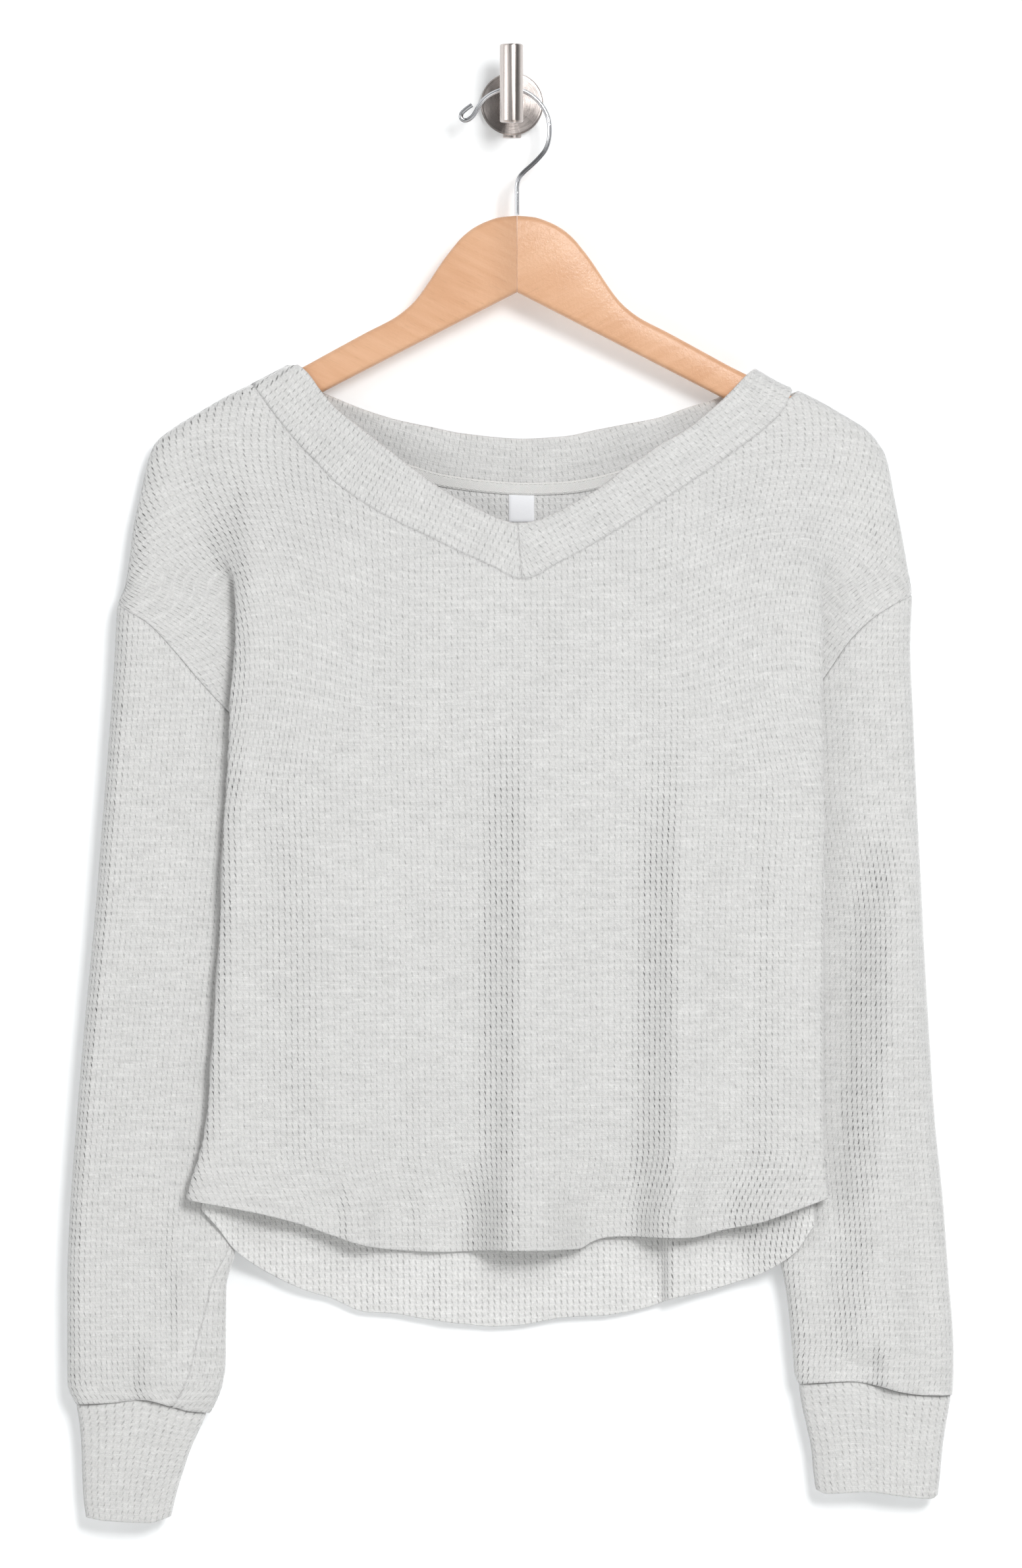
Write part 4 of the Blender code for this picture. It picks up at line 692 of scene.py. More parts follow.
class Cloth:
    """Gathers the shells of one piece, then makes its mesh."""

    def __init__(self):
        self.points, self.faces, self.uv, self.plain, self.turn = [], [], [], [], []
        self.count = 0

    def add(self, points, faces, uv, plain, turn=0.0):
        """Add points in millimetres with their faces, knit coordinates, share of plain skin and
        how far the skin under the waffle is turned to the right."""
        start, self.count = self.count, self.count + len(points)
        self.points.append(np.asarray(points, dtype=float))
        self.uv.append(np.asarray(uv, dtype=float))
        self.plain.append(np.broadcast_to(plain, len(points)))
        self.turn.append(np.broadcast_to(turn, len(points)))
        for group in faces:
            if len(group):
                self.add_faces(np.asarray(group) + start)

    def add_faces(self, faces, corners=None):
        """Add faces between points already there; corners may give their own knit coordinates."""
        self.faces.append((np.asarray(faces), corners))

    def make(self, name, finish, nodes, slot):
        mesh = bpy.data.meshes.new(name)
        points, uv = np.concatenate(self.points) * METRE, np.concatenate(self.uv)
        mesh.from_pydata(points.tolist(), [], [tuple(f) for group, _ in self.faces for f in group.tolist()])
        places = [uv[group.ravel()] if corners is None else corners.reshape(-1, 2)
                  for group, corners in self.faces]
        mesh.uv_layers.new(name="knit").data.foreach_set("uv", np.concatenate(places).ravel())
        for word, values in (("plain", self.plain), ("turn", self.turn)):
            layer = mesh.attributes.new(word, "FLOAT", "POINT")
            layer.data.foreach_set("value", np.concatenate(values).astype(np.float32))
        mesh.shade_smooth()
        mesh.materials.append(finish)
        piece = bpy.data.objects.new(name, mesh)
        bpy.context.scene.collection.objects.link(piece)
        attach(piece, BODY)
        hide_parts(*nodes)
        return piece


SEWN, BUTTED, OPEN = 0.0, 0.5, 1.0       # kinds of edge
SEAM_FADE = 2.6        # the waffle dies out over this distance from a seam
SEAM_SINK = 0.02       # and the cloth sinks by this much into it
SHELL = 1.7            # twice the way from the middle of the wall to the middle of the waffle
INSIDE = 0.75          # from the middle of the wall to its plain inner skin
RIM_LIFT, RIM_BULGE = 0.55, 0.35       # an open edge is rounded: lower skins and a fuller middle


def shell(cloth, surface, outline, lay, cell, relief, kinds, thick=SHELL, fine_inside=False, unit=None):
    """Add a closed wall of knitted cloth cut to an outline on the flat cloth.

    lay turns places on the flat cloth into places on the surface, and kinds holds the kind of
    edge at each point of the outline.  unit is one step of the knit coordinates.
    """
    outline, kinds = np.asarray(outline, dtype=float), np.asarray(kinds, dtype=float)
    unit = np.array(unit or cell)
    count, is_open = len(outline), kinds == OPEN
    seams = lay(outline[kinds == SEWN])
    skins_made = []
    for outer, step in ((True, 1), (False, 1 if fine_inside else 2)):
        points, quads, border, height = flat_net(outline, cell, step)
        spots = lay(points)
        facing = surface.facing(*spots.T)
        fade = ease(away_from(spots, seams) / SEAM_FADE)
        ridges = relief * height * fade
        lift = thick / 2 + (ridges - SEAM_SINK * (1 - fade)) if outer else -(INSIDE + ridges)
        lift[:count] *= np.where(is_open, RIM_LIFT, 1.0)
        skin = surface.place(*spots.T) + facing * lift[:, None]
        flip = turned_in(skin, quads if len(quads) else border, facing, outer)
        groups = [quads[:, ::-1], border[:, ::-1]] if flip else [quads, border]
        skins_made.append((cloth.count, flip))
        cloth.add(skin, groups, points / unit, 0.0 if outer or fine_inside else 1.0,
                  facing[:, 0] * (1 if outer else -1))
    rim = surface.place(*lay(outline).T)
    off = surface.place(*lay(outline + outwards(outline) * 0.5).T) - rim
    off /= np.maximum(np.linalg.norm(off, axis=1, keepdims=True), 1e-6)
    start = cloth.count
    cloth.add(rim + off * np.where(is_open, RIM_BULGE * thick, 0.0)[:, None], [], outline / unit, 0.0)
    ring, ahead = np.arange(count), np.roll(np.arange(count), -1)
    (outer, flip), (inner, _) = skins_made
    for a, b in ((outer, start), (start, inner)):
        quad = np.stack([a + ring, b + ring, b + ahead, a + ahead], 1)
        cloth.add_faces(quad if (twice_area(outline) > 0) != flip else quad[:, ::-1])


def turned_in(points, faces, facing, outer):
    """Whether faces look the wrong way: off the wall they should look away from it."""
    some = faces[::max(1, len(faces) // 50)]
    a, b, c = points[some[:, 0]], points[some[:, 1]], points[some[:, 2]]
    looks = np.sum(np.cross(b - a, c - a) * facing[some[:, 0]], axis=1)
    return (np.median(looks) < 0) == outer


# ---------------- how the cloth lies
SEAM_HALF = 0.025      # half the space between two pieces of cloth at a seam
EDGE_STEP = 2.0        # between the points of an outline
MITRE_STEP = 0.15      # and along x at the point of the V, where its join is steep
ARMHOLE_STEP = 1.5     # and down the armholes
HEM_POINTS = 190
# On the dropped shoulders the cloth has swung outwards: along, z, reach and degrees of the turn.
LEANS = (
    (-232.0, -282.0, 170.0, 34.0),
    (238.0, -280.0, 170.0, -34.0),
)


def swing(flat):
    """Places on a skin of places on its flat cloth, turned about the dropped shoulders."""
    spots = flat.copy()
    for along, z, reach, degrees in LEANS:
        off = flat - (along, z)
        turn = math.radians(degrees) * ease(1 - np.linalg.norm(off, axis=1) / reach)
        swung = np.stack([off[:, 0] * np.cos(turn) - off[:, 1] * np.sin(turn),
                          off[:, 0] * np.sin(turn) + off[:, 1] * np.cos(turn)], 1)
        spots += swung - off
    return spots


def swing_back(spots):
    """Places on the flat cloth of places on a skin."""
    flat = spots.copy()
    for _ in range(40):
        flat += spots - swing(flat)
    return flat


def as_it_lies(flat):
    return flat


class Strip:
    """Flat cloth that follows a curve on a skin: distance along the curve and distance off it."""

    BEYOND = 80            # the curve runs straight on past both ends by this much
    ROUNDS = 30            # of smoothing along the curve

    def __init__(self, path):
        path = np.asarray(path, dtype=float)
        first, last = path[0] - path[1], path[-1] - path[-2]
        path = np.concatenate([[path[0] + first / np.linalg.norm(first) * self.BEYOND], path,
                               [path[-1] + last / np.linalg.norm(last) * self.BEYOND]])
        length = lengths_along(path) - self.BEYOND
        self.length = np.arange(-self.BEYOND, length[-1], 1.0)
        points = np.stack([np.interp(self.length, length, path[:, k]) for k in (0, 1)], 1)
        for _ in range(self.ROUNDS):
            points[1:-1] = points[1:-1] * 0.5 + (points[2:] + points[:-2]) * 0.25
        ahead = np.gradient(points, axis=0)
        ahead /= np.linalg.norm(ahead, axis=1, keepdims=True)
        self.points, self.ahead, self.off = points, ahead, np.stack([-ahead[:, 1], ahead[:, 0]], 1)

    def at(self, source, along):
        return np.stack([np.interp(along, self.length, source[:, k]) for k in (0, 1)], 1)

    def lay(self, flat):
        return self.at(self.points, flat[:, 0]) + self.at(self.off, flat[:, 0]) * flat[:, 1:]

    def unlay(self, spots):
        flat = np.zeros_like(spots)
        gaps = np.linalg.norm(spots[:, None] - self.points[None], axis=2)
        flat[:, 0] = self.length[gaps.argmin(1)]
        for _ in range(12):
            miss = spots - self.lay(flat)
            flat += np.stack([np.sum(miss * self.at(source, flat[:, 0]), 1)
                              for source in (self.ahead, self.off)], 1)
        return flat


class Lining:
    """The inner side of a surface, some way off the middle of its wall."""

    def __init__(self, surface, depth):
        self.surface, self.depth = surface, depth

    def place(self, along, z):
        return self.surface.place(along, z) - self.surface.facing(along, z) * self.depth

    def facing(self, along, z):
        return -self.surface.facing(along, z)


def stepped(start, end, step=EDGE_STEP):
    """Evenly spaced values from start to end, the end left out."""
    return np.linspace(start, end, max(2, int(round(abs(end - start) / step)) + 1))[:-1]


def drawn_in(spots, kinds):
    """Draw the sewn stretches of an outline in by half the space at a seam."""
    return spots - outwards(spots) * SEAM_HALF * (kinds != OPEN)[:, None]


def edge_line(skin, source, x_values):
    """Places along the cloth of a seam or rim given as heights over x."""
    rows = []
    for x in x_values:
        z = float(read(source, "z", x))
        rows.append((float(skin.along_of(x, z)), z))
    return rows


def hem_line(skin, source, shares):
    """Places of the hem, from the right side seam (1) to the left one (-1)."""
    rows = []
    for share in shares:
        side, z = (1 if share > 0 else -1), HEM_GUESS_Z
        for _ in range(7):
            along = abs(share) * skin.side_edge(side, z)
            x = skin.place(np.array([along]), np.array([z]))[0, 0]
            z = float(read(source, "z", x))
        rows.append((along, z))
    return rows


def panel_outline(skin, neck, hem):
    """Outline of the front or the back: neck, right side, hem, left side."""
    (_, hem_right), (_, hem_left) = hem_line(skin, hem, (1.0, -1.0))
    rows = edge_line(skin, neck, stepped(neck["x"][0], neck["x"][-1])[1:])
    rows += [(float(skin.side_edge(1, z)), z) for z in stepped(neck["z"][-1], hem_right)]
    foot = hem_line(skin, hem, np.linspace(1, -1, HEM_POINTS))
    kinds = [SEWN] * len(rows) + [OPEN] * len(foot)
    heights = (*stepped(hem_left, neck["z"][0])[1:].tolist(), neck["z"][0])
    left = [(float(skin.side_edge(-1, z)), z) for z in heights]
    return np.array(rows + foot + left), np.array(kinds + [SEWN] * len(left))


def band_outline(skin, face, side):
    """Outline of one stretch of the neckband on a skin; side 0 is the whole of the back's."""
    rim, seam = (FRONT_RIM, FRONT_NECK) if face == "front" else (BACK_RIM, BACK_NECK)
    rim_left, rim_right = rim["x"][0], rim["x"][-1]
    seam_left, seam_right = seam["x"][0], seam["x"][-1]
    vee_rim = rim["x"][np.argmin(rim["z"])]
    rows, kinds = [], []

    def run(points, kind):
        rows.extend(points)
        kinds.extend([kind] * len(points))

    def ridge(which, start, end):
        run([(float(skin.station(0 if which < 0 else LAST, z)), z) for z in stepped(start, end)], BUTTED)

    def mitre(start, end):
        """The join of both halves at the point of the V, from one (x, z) to another."""
        x_values = stepped(start[0], end[0], MITRE_STEP)
        heights = np.linspace(start[1], end[1], len(x_values) + 1)[:-1]
        run([(float(skin.along_of(x, z)), z) for x, z in zip(x_values, heights)], BUTTED)

    at_rim = (vee_rim, float(read(rim, "z", vee_rim)))
    at_seam = (CENTRE_X, float(read(seam, "z", CENTRE_X)))
    start, end = {0: (rim_left, rim_right), -1: (rim_left, vee_rim), 1: (vee_rim, rim_right)}[side]
    run(edge_line(skin, rim, stepped(start, end)[1 if side <= 0 else 0:]), OPEN)
    if side < 0:
        mitre(at_rim, at_seam)
        run(edge_line(skin, seam, stepped(CENTRE_X, seam_left)), SEWN)
        ridge(-1, seam["z"][0], rim["z"][0])
    elif side > 0:
        ridge(1, rim["z"][-1], seam["z"][-1])
        run(edge_line(skin, seam, stepped(seam_right, CENTRE_X)), SEWN)
        mitre(at_seam, at_rim)
    else:
        ridge(1, rim["z"][-1], seam["z"][-1])
        run(edge_line(skin, seam, stepped(seam_right, seam_left)), SEWN)
        ridge(-1, seam["z"][0], rim["z"][0])
    return np.array(rows), np.array(kinds)


# The underarm seam of the left sleeve comes round to the front above the cuff.
SEAM_SHIFT = {
    -1: table(
        "z shift", (-403.6, 0), (-600, 0), (-697.7, 6), (-721, 11), (-748, 16.5), (-762, 20.5), (-783, 25),
        (-812, 29)),
    1: table(
        "z shift", (-403.6, 0), (-812, -6)),
}
CUFF_TOP = {
    -1: table(
        "x z", (-268, -801.6), (-246, -800.5), (-227, -798.6), (-211, -802.3), (-199.5, -805.5),
        (-186.5, -806.8)),
    1: table(
        "x z", (176, -789.1), (192.5, -788), (208.7, -787.3), (225, -789.8), (239.6, -793.8),
        (254.4, -795.8), (270.5, -796)),
}


def sleeve_outline(tube, side, skins):
    """Outline of a sleeve: front armhole down, underarm, cuff seam, underarm, back armhole up."""
    foot = UNDERARM_Z
    heights = stepped(ARMHOLE_TOP_Z[side], foot, ARMHOLE_STEP)

    def reach(face, z):
        """Distance from the outer edge to the armhole seam on one face."""
        skin = skins[face]
        outer = skin.station(0 if side < 0 else LAST, z)
        return abs(float(skin.side_edge(side, z) - outer)) * (1 if face == "front" else -1)

    def cuff_level(along):
        """Height of the cuff seam at a distance round the sleeve."""
        z = SLEEVE_FOOT_GUESS_Z
        for _ in range(4):
            z = float(read(CUFF_TOP[side], "z", tube.place(np.array([along]), np.array([z]))[0, 0]))
        return z

    def seam(z, face):
        return tube.end(face, z) - float(read(SEAM_SHIFT[side], "shift", z))

    rows = [(reach("front", z), z) for z in heights]
    front_foot = cuff_level(seam(SLEEVE_FOOT_GUESS_Z, "front"))
    rows += [(seam(z, "front"), z) for z in stepped(foot, front_foot)]
    rows += [(along, cuff_level(along))
             for along in stepped(seam(front_foot, "front"), seam(front_foot, "back"))]
    rows += [(seam(z, "back"), z) for z in stepped(rows[-1][1], foot)]
    rows += [(reach("back", z), z) for z in heights[::-1][:-1]]
    return np.array(rows), np.full(len(rows), SEWN)


# ---------------- cuffs
CUFF_CELL = (4.4, 3.55)        # the knit is turned a quarter
CUFF_THICK = 2.6
CUFF_HALF = CUFF_THICK / 2 - 0.3       # from the middle of the wall to the middle of the waffle
CUFF_SQUARE = (2.6, 0.6)       # how flat a cuff's section is, and how round its sides are
CUFF_SIDES = {
    -1: table(
        "z outer inner front back", (-801, -267.4, -187, -24.5, -9.5), (-815, -265, -193, -24.5, -9.5),
        (-829, -264, -199.3, -24, -9.5), (-842, -263.6, -203.7, -23.5, -9.5),
        (-857, -263, -208.2, -23, -9.5), (-873, -261, -211.8, -22.5, -9.5)),
    1: table(
        "z outer inner front back", (-789, 270.4, 178, -24.5, -9.5), (-800, 268.6, 179.6, -24.5, -9.5),
        (-815, 266, 182.9, -24, -9.5), (-829, 264, 185.8, -23.5, -9.5), (-845, 262.6, 187.3, -23, -9.5),
        (-859, 261, 189.5, -22.5, -9.5)),
}
CUFF_END = {
    -1: table(
        "x z", (-262, -871), (-250, -872.6), (-223, -873.8), (-211, -870.3)),
    1: table(
        "x z", (189, -854), (192.5, -856), (219, -854.8), (239.6, -857.4), (258.6, -859.2), (262, -857)),
}


def cuff_middle(side, turns, shares):
    """Middle of a cuff's wall: a ring of points at each share of the way to its open end."""
    place = (1 + np.cos(turns)) / 2

    def spot(name, z):
        return read(CUFF_SIDES[side], name, z)

    top = np.full(len(turns), CUFF_TOP_GUESS_Z)
    for _ in range(4):
        x = spot("inner", top) + (spot("outer", top) - spot("inner", top)) * place
        top = read(CUFF_TOP[side], "z", x) - SEAM_HALF
    rings = []
    for share in shares:
        z = top.copy()
        for _ in range(4):
            x = spot("inner", z) + (spot("outer", z) - spot("inner", z)) * place
            z = top + (read(CUFF_END[side], "z", x) - top) * share
        near, far = spot("front", z), spot("back", z)
        round_off = (1 - np.abs(2 * place - 1) ** CUFF_SQUARE[0]) ** CUFF_SQUARE[1]
        y = (near + far) / 2 + (near - far) / 2 * round_off * np.sign(np.sin(turns) + 1e-9)
        rings.append(np.stack([x, y, z], 1))
    return np.array(rings)


def cuff(side, relief):
    """A cuff: its outer skin, the fold at its open end and its inner skin, as one closed tube."""
    dense = np.linspace(0, 2 * math.pi, 721)
    ring = cuff_middle(side, dense, [0.5])[0]
    length = lengths_along(ring)
    around = 2 * round(length[-1] / CUFF_CELL[0])
    turns = np.interp(np.arange(around) / around * length[-1], length, dense)
    drop = np.ptp(cuff_middle(side, turns, [0.0, 1.0])[:, :, 2], axis=0).mean()
    down = 2 * round(drop / CUFF_CELL[1])
    middle = cuff_middle(side, turns, np.arange(down + 1) / down)
    ahead = np.roll(middle, -1, 1) - np.roll(middle, 1, 1)
    below = np.gradient(middle, axis=0)
    facing = np.cross(ahead, below) * (-1 if side < 0 else 1)
    facing /= np.linalg.norm(facing, axis=2, keepdims=True)
    below /= np.linalg.norm(below, axis=2, keepdims=True)
    row, column = np.indices(middle.shape[:2])
    fade = ease(row * CUFF_CELL[1] / 2 / SEAM_FADE)
    height = relief * waffle(column, row) * fade - SEAM_SINK * (1 - fade)
    outer = middle + facing * (CUFF_HALF + height)[..., None]
    fold = [middle[-1] + (facing[-1] * math.cos(turn) + below[-1] * math.sin(turn)) * CUFF_HALF
            for turn in np.radians((30, 60, 90, 120, 150))]
    inner = middle - facing * CUFF_HALF
    rows = np.concatenate([outer, fold, inner[::-1][::2]])
    return rows, drop


def add_tube(cloth, rows, flip, uv_step):
    """Add rings of points, the last one joined to the first, as one closed skin."""
    count, around = rows.shape[:2]
    i, j = np.indices((count, around))
    ahead, below = (j + 1) % around, (i + 1) % count
    faces = np.stack([i * around + j, i * around + ahead, below * around + ahead, below * around + j], 2)
    corners = np.stack([np.stack([j + a, i + b], 2) for a, b in ((0, 0), (1, 0), (1, 1), (0, 1))], 2)
    corners = corners * np.array(uv_step)
    faces, corners = faces.reshape(-1, 4), corners.reshape(-1, 4, 2)
    if flip:
        faces, corners = faces[:, ::-1], corners[:, ::-1]
    start = cloth.count
    cloth.add(rows.reshape(-1, 3), [], np.zeros((count * around, 2)), 0.0)
    cloth.add_faces(faces + start, corners)


# ---------------- tape and label
TAPE_REACH = (-96.0, 112.0)
TAPE_TOP, TAPE_HEIGHT, TAPE_THICK, TAPE_DEPTH = 1.2, 7.4, 0.5, 1.45
LABEL_WIDTH, LABEL_HEIGHT, LABEL_THICK, LABEL_DEPTH, LABEL_X = 15.4, 17.4, 0.35, 1.2, 5.9
TRIM_CELL, TRIM_STEP = (3.0, 3.0), 1.5         # spacing of the net of tape and label, and of their outline
STITCH_LENGTH, STITCH_PITCH, STITCH_RADIUS = 2.2, 3.0, 0.24
STITCH_INSET = 0.9     # from an edge of the tape to its row of stitches


def rectangle(left, right, foot, top, step):
    """Points round a rectangle."""
    across, up = stepped(left, right, step), stepped(foot, top, step)
    back, down = stepped(right, left, step), stepped(top, foot, step)
    return np.array([(x, foot) for x in across] + [(right, y) for y in up]
                    + [(x, top) for x in back] + [(left, y) for y in down])


def stitch_row(cloth, starts, ends, outward_at, radius):
    """Add a row of stitches: slim six-sided grains of thread between starts and ends."""
    shares, widths = (0.0, 0.18, 0.5, 0.82, 1.0), (0.25, 0.8, 1.0, 0.8, 0.25)
    sides = 6
    for start, end, out in zip(starts, ends, outward_at):
        along = (end - start) / np.linalg.norm(end - start)
        side = np.cross(along, out)
        rings = []
        for share, width in zip(shares, widths):
            arch = start + (end - start) * share + out * radius * 0.6 * math.sin(math.pi * share)
            rings.append([arch + (side * math.cos(t) + out * math.sin(t)) * radius * width
                          for t in np.arange(sides) / sides * 2 * math.pi])
        rings = np.array(rings)
        first = np.arange(sides)
        faces = [np.stack([k * sides + first, k * sides + (first + 1) % sides,
                           (k + 1) * sides + (first + 1) % sides, (k + 1) * sides + first], 1)
                 for k in range(len(shares) - 1)]
        caps = [first[None, ::-1], first[None] + (len(shares) - 1) * sides]
        cloth.add(rings.reshape(-1, 3), faces + caps, rings.reshape(-1, 3)[:, :2], 0.0)


# ---------------- finishes
class Value:
    """An output to reckon with: each sum, product or power becomes a Math node."""

    def __init__(self, nodes, socket):
        self.nodes, self.socket = nodes, socket

    def __add__(self, other):
        return self.nodes.math("ADD", self, other)

    def __radd__(self, other):
        return self.nodes.math("ADD", other, self)

    def __sub__(self, other):
        return self.nodes.math("SUBTRACT", self, other)

    def __rsub__(self, other):
        return self.nodes.math("SUBTRACT", other, self)

    def __mul__(self, other):
        return self.nodes.math("MULTIPLY", self, other)

    def __truediv__(self, other):
        return self.nodes.math("DIVIDE", self, other)

    def __pow__(self, other):
        return self.nodes.math("POWER", self, other)

    def __abs__(self):
        return self.nodes.math("ABSOLUTE", self)

    def fraction(self):
        return self.nodes.math("FRACT", self)

    def root(self):
        return self.nodes.math("SQRT", self)


class Nodes:
    """Short words for building a tree of nodes."""

    def __init__(self, tree):
        self.tree = tree

    def node(self, kind, *inputs, **settings):
        """Add a node, set its settings, and link or fill its inputs in order."""
        made = self.tree.nodes.new(kind)
        for name, value in settings.items():
            setattr(made, name, value)
        sockets = [s for s in made.inputs if s.enabled]
        for socket, value in zip(sockets, inputs):
            self.fill(socket, value)
        return made

    def fill(self, socket, value):
        if isinstance(value, Value):
            value = value.socket
        if isinstance(value, bpy.types.NodeSocket):
            self.tree.links.new(value, socket)
        else:
            socket.default_value = value

    def math(self, operation, *inputs):
        return Value(self, self.node("ShaderNodeMath", *inputs, operation=operation).outputs[0])

    def ramp(self, value, low, high, start=0.0, end=1.0):
        """A smooth step of a value between two bounds."""
        made = self.node("ShaderNodeMapRange", value, low, high, start, end, interpolation_type="SMOOTHSTEP")
        return Value(self, made.outputs[0])

    def bands(self, at, stops):
        """Grey tones along a value from 0 to 1, one for each (place, tone)."""
        made = self.node("ShaderNodeValToRGB", at)
        ramp = made.color_ramp
        while len(ramp.elements) < len(stops):
            ramp.elements.new(0.5)
        for element, (place, tone) in zip(ramp.elements, stops):
            element.position, element.color = place, (tone, tone, tone, 1.0)
        return Value(self, made.outputs[0])

    def spot(self):
        """Place on the piece, in metres."""
        return self.node("ShaderNodeTexCoord").outputs["Object"]

    def laid(self):
        """Place on the flat cloth, in steps of its knit."""
        return self.node("ShaderNodeUVMap", uv_map="knit").outputs[0]

    def attribute(self, name):
        return Value(self, self.node("ShaderNodeAttribute", attribute_name=name).outputs["Fac"])

    def parts(self, place):
        """The three coordinates of a place."""
        return [Value(self, socket) for socket in self.node("ShaderNodeSeparateXYZ", place).outputs]

    def joined(self, *coordinates):
        return self.node("ShaderNodeCombineXYZ", *coordinates).outputs[0]

    def scaled(self, place, scale):
        return self.node("ShaderNodeVectorMath", place, scale, operation="MULTIPLY").outputs[0]

    def noise(self, place, scale, detail=2.0, roughness=0.5):
        made = self.node("ShaderNodeTexNoise")
        self.fill(made.inputs["Vector"], place)
        for name, value in (("Scale", scale), ("Detail", detail), ("Roughness", roughness)):
            made.inputs[name].default_value = value
        return Value(self, made.outputs[0])

    def tint(self, colour, factor):
        """A colour made lighter or darker by a factor."""
        return self.node("ShaderNodeVectorMath", colour, factor, operation="SCALE").outputs[0]

    def blend(self, share, first, second):
        made = self.node("ShaderNodeMix", share, first, second, data_type="RGBA")
        return next(s for s in made.outputs if s.enabled)

    def bump(self, height):
        """A bump of a height in millimetres."""
        made = self.node("ShaderNodeBump")
        made.inputs["Distance"].default_value = METRE
        self.fill(made.inputs["Height"], height)
        return made.outputs[0]


class Finish(Nodes):
    """The nodes of one material."""

    def __init__(self, name):
        self.material = bpy.data.materials.new(name)
        self.material.use_nodes = True
        super().__init__(self.material.node_tree)
        self.shader = self.tree.nodes["Principled BSDF"]

    def put(self, **values):
        """Fill the shader's sockets; an underscore stands for a space."""
        for name, value in values.items():
            self.fill(self.shader.inputs[name.replace("_", " ")], value)
        return self.material


PIT_WIDTH, PIT_HEIGHT, PIT_SLANT = 0.115, 0.36, 0.30   # half sizes of the dashes, in cells
PIT_RAGGED = 1.9
# Painted shade in the pits and along the wales: a share everywhere, and more on slopes turned to the left,
# away from the light.
PIT_PAINTED_SHADE, WALE_PAINTED_SHADE = (0.20, 0.24), (0.055, 0.17)      # everywhere, and more on slopes to the left
# Painted light: the plain inner skin, which lies in shade inside the cloth, is painted lighter.
PLAIN_PAINTED_LIGHT = 0.11     # the plain inner skin is lighter, as it has no shadows of its own


def knit_finish(settings):
    """Heathered waffle knit with painted shade in its pits and wales; whole numbers of the knit coordinates
    are crossings of the ridges.
    """
    nodes = Finish("waffle_knit")
    place, spot = nodes.laid(), nodes.spot()
    wales, courses, _ = nodes.parts(place)
    plain = nodes.attribute("plain")
    fibre = nodes.noise(spot, 1300.0, 2.0, 0.7)
    fuzz = nodes.noise(spot, 640.0, 2.0, 0.6)
    turned = nodes.ramp(nodes.attribute("turn"), 0.06, -0.42)
    cell = nodes.node("ShaderNodeVectorMath", place, operation="FLOOR").outputs[0]
    drawn = nodes.node("ShaderNodeTexWhiteNoise", cell, noise_dimensions="2D").outputs["Value"]
    # The pits are painted darker as small slanting dashes, each a little different, with a faint painted
    # shade along the wale between: painted shade in the hollows of the knit.
    across, down = wales.fraction() - 0.5, courses.fraction() - 0.5
    slanted = across + down * PIT_SLANT
    far = ((slanted / PIT_WIDTH) ** 2.0 + (down / PIT_HEIGHT) ** 2.0).root()
    far = far + (nodes.noise(place, 3.1) - 0.5) * PIT_RAGGED
    pit = nodes.ramp(far, 1.25, 0.35)
    wale = nodes.ramp(abs(slanted), 0.15, 0.03)
    # Slubs and heather run along the courses.
    slub = nodes.noise(nodes.scaled(place, (0.16, 1.10, 1.0)), 1.0)
    streak = nodes.noise(nodes.scaled(place, (0.45, 3.6, 1.0)), 1.0, 2.0, 0.6)
    cloudy = nodes.noise(spot, 22.0, 3.0, 0.6)
    tone = 1.02
    for part, weight in ((slub, 0.24), (streak, 0.24), (fibre, 0.26), (fuzz, 0.40), (cloudy, 0.09)):
        tone = tone + (part - 0.5) * weight
    tone = tone + nodes.ramp(streak, 0.58, 0.75) * 0.05
    # On slopes that turn to the left, away from the light, more painted shade goes into the pits and wales,
    # and the pits join into wales.
    tone = tone - pit * ((PIT_PAINTED_SHADE[0] + turned * PIT_PAINTED_SHADE[1]) * (0.45 + Value(nodes, drawn) * 1.1))
    tone = tone - wale * (WALE_PAINTED_SHADE[0] + turned * WALE_PAINTED_SHADE[1])
    # Painted light on the plain inner skin.
    tone = tone + plain * PLAIN_PAINTED_LIGHT
    # Loops of yarn on the ridges, and the whole waffle where the skin is plain.
    twice = abs((wales * 2.0).fraction() - 0.5)
    loops = abs((courses * 3.0 + twice).fraction() - 0.5)
    waffle = nodes.ramp(far, 1.6, 0.2) * plain * -0.35
    bump = nodes.bump(loops * 0.18 + fibre * 0.26 + waffle)
    return nodes.put(Base_Color=nodes.tint(tuple(settings.colour), tone), Roughness=0.92, Normal=bump,
                     Specular_IOR_Level=0.25, Sheen_Weight=0.75, Sheen_Roughness=0.4,
                     Sheen_Tint=(1.0, 1.0, 1.0, 1.0))


def tape_finish(settings):
    """Herringbone tape; its coordinates are millimetres along and across."""
    nodes = Finish("neck_tape")
    along, across, _ = nodes.parts(nodes.laid())
    ridge = abs(((nodes.math("PINGPONG", along, 3.6) + across) * 0.95).fraction() - 0.5)
    grain = nodes.noise(nodes.spot(), 1800.0, 2.0, 0.6)
    tone = 0.90 + ridge * 0.22 + (grain - 0.5) * 0.08
    return nodes.put(Base_Color=nodes.tint(tuple(settings.tape_colour), tone), Roughness=0.8,
                     Normal=nodes.bump(ridge * 0.35 + grain * 0.1), Sheen_Weight=0.2, Sheen_Roughness=0.4)


def label_finish(settings):
    """Blank satin label with a fine woven grain."""
    nodes = Finish("blank_label")
    weave = nodes.noise(nodes.scaled(nodes.spot(), (900.0, 900.0, 3600.0)), 1.0, 1.0)
    return nodes.put(Base_Color=nodes.tint(tuple(settings.label_colour), 0.97 + weave * 0.06),
                     Roughness=0.45, Normal=nodes.bump(weave * 0.05), Sheen_Weight=0.1)


# Painted shade: each arm's colour darkens towards the mitre, the left arm, which faces away from the light,
# much more.
MITRE_PAINTED_SHADE = {-1: 0.13, 1: 0.02}      # each arm darkens by this much towards the mitre


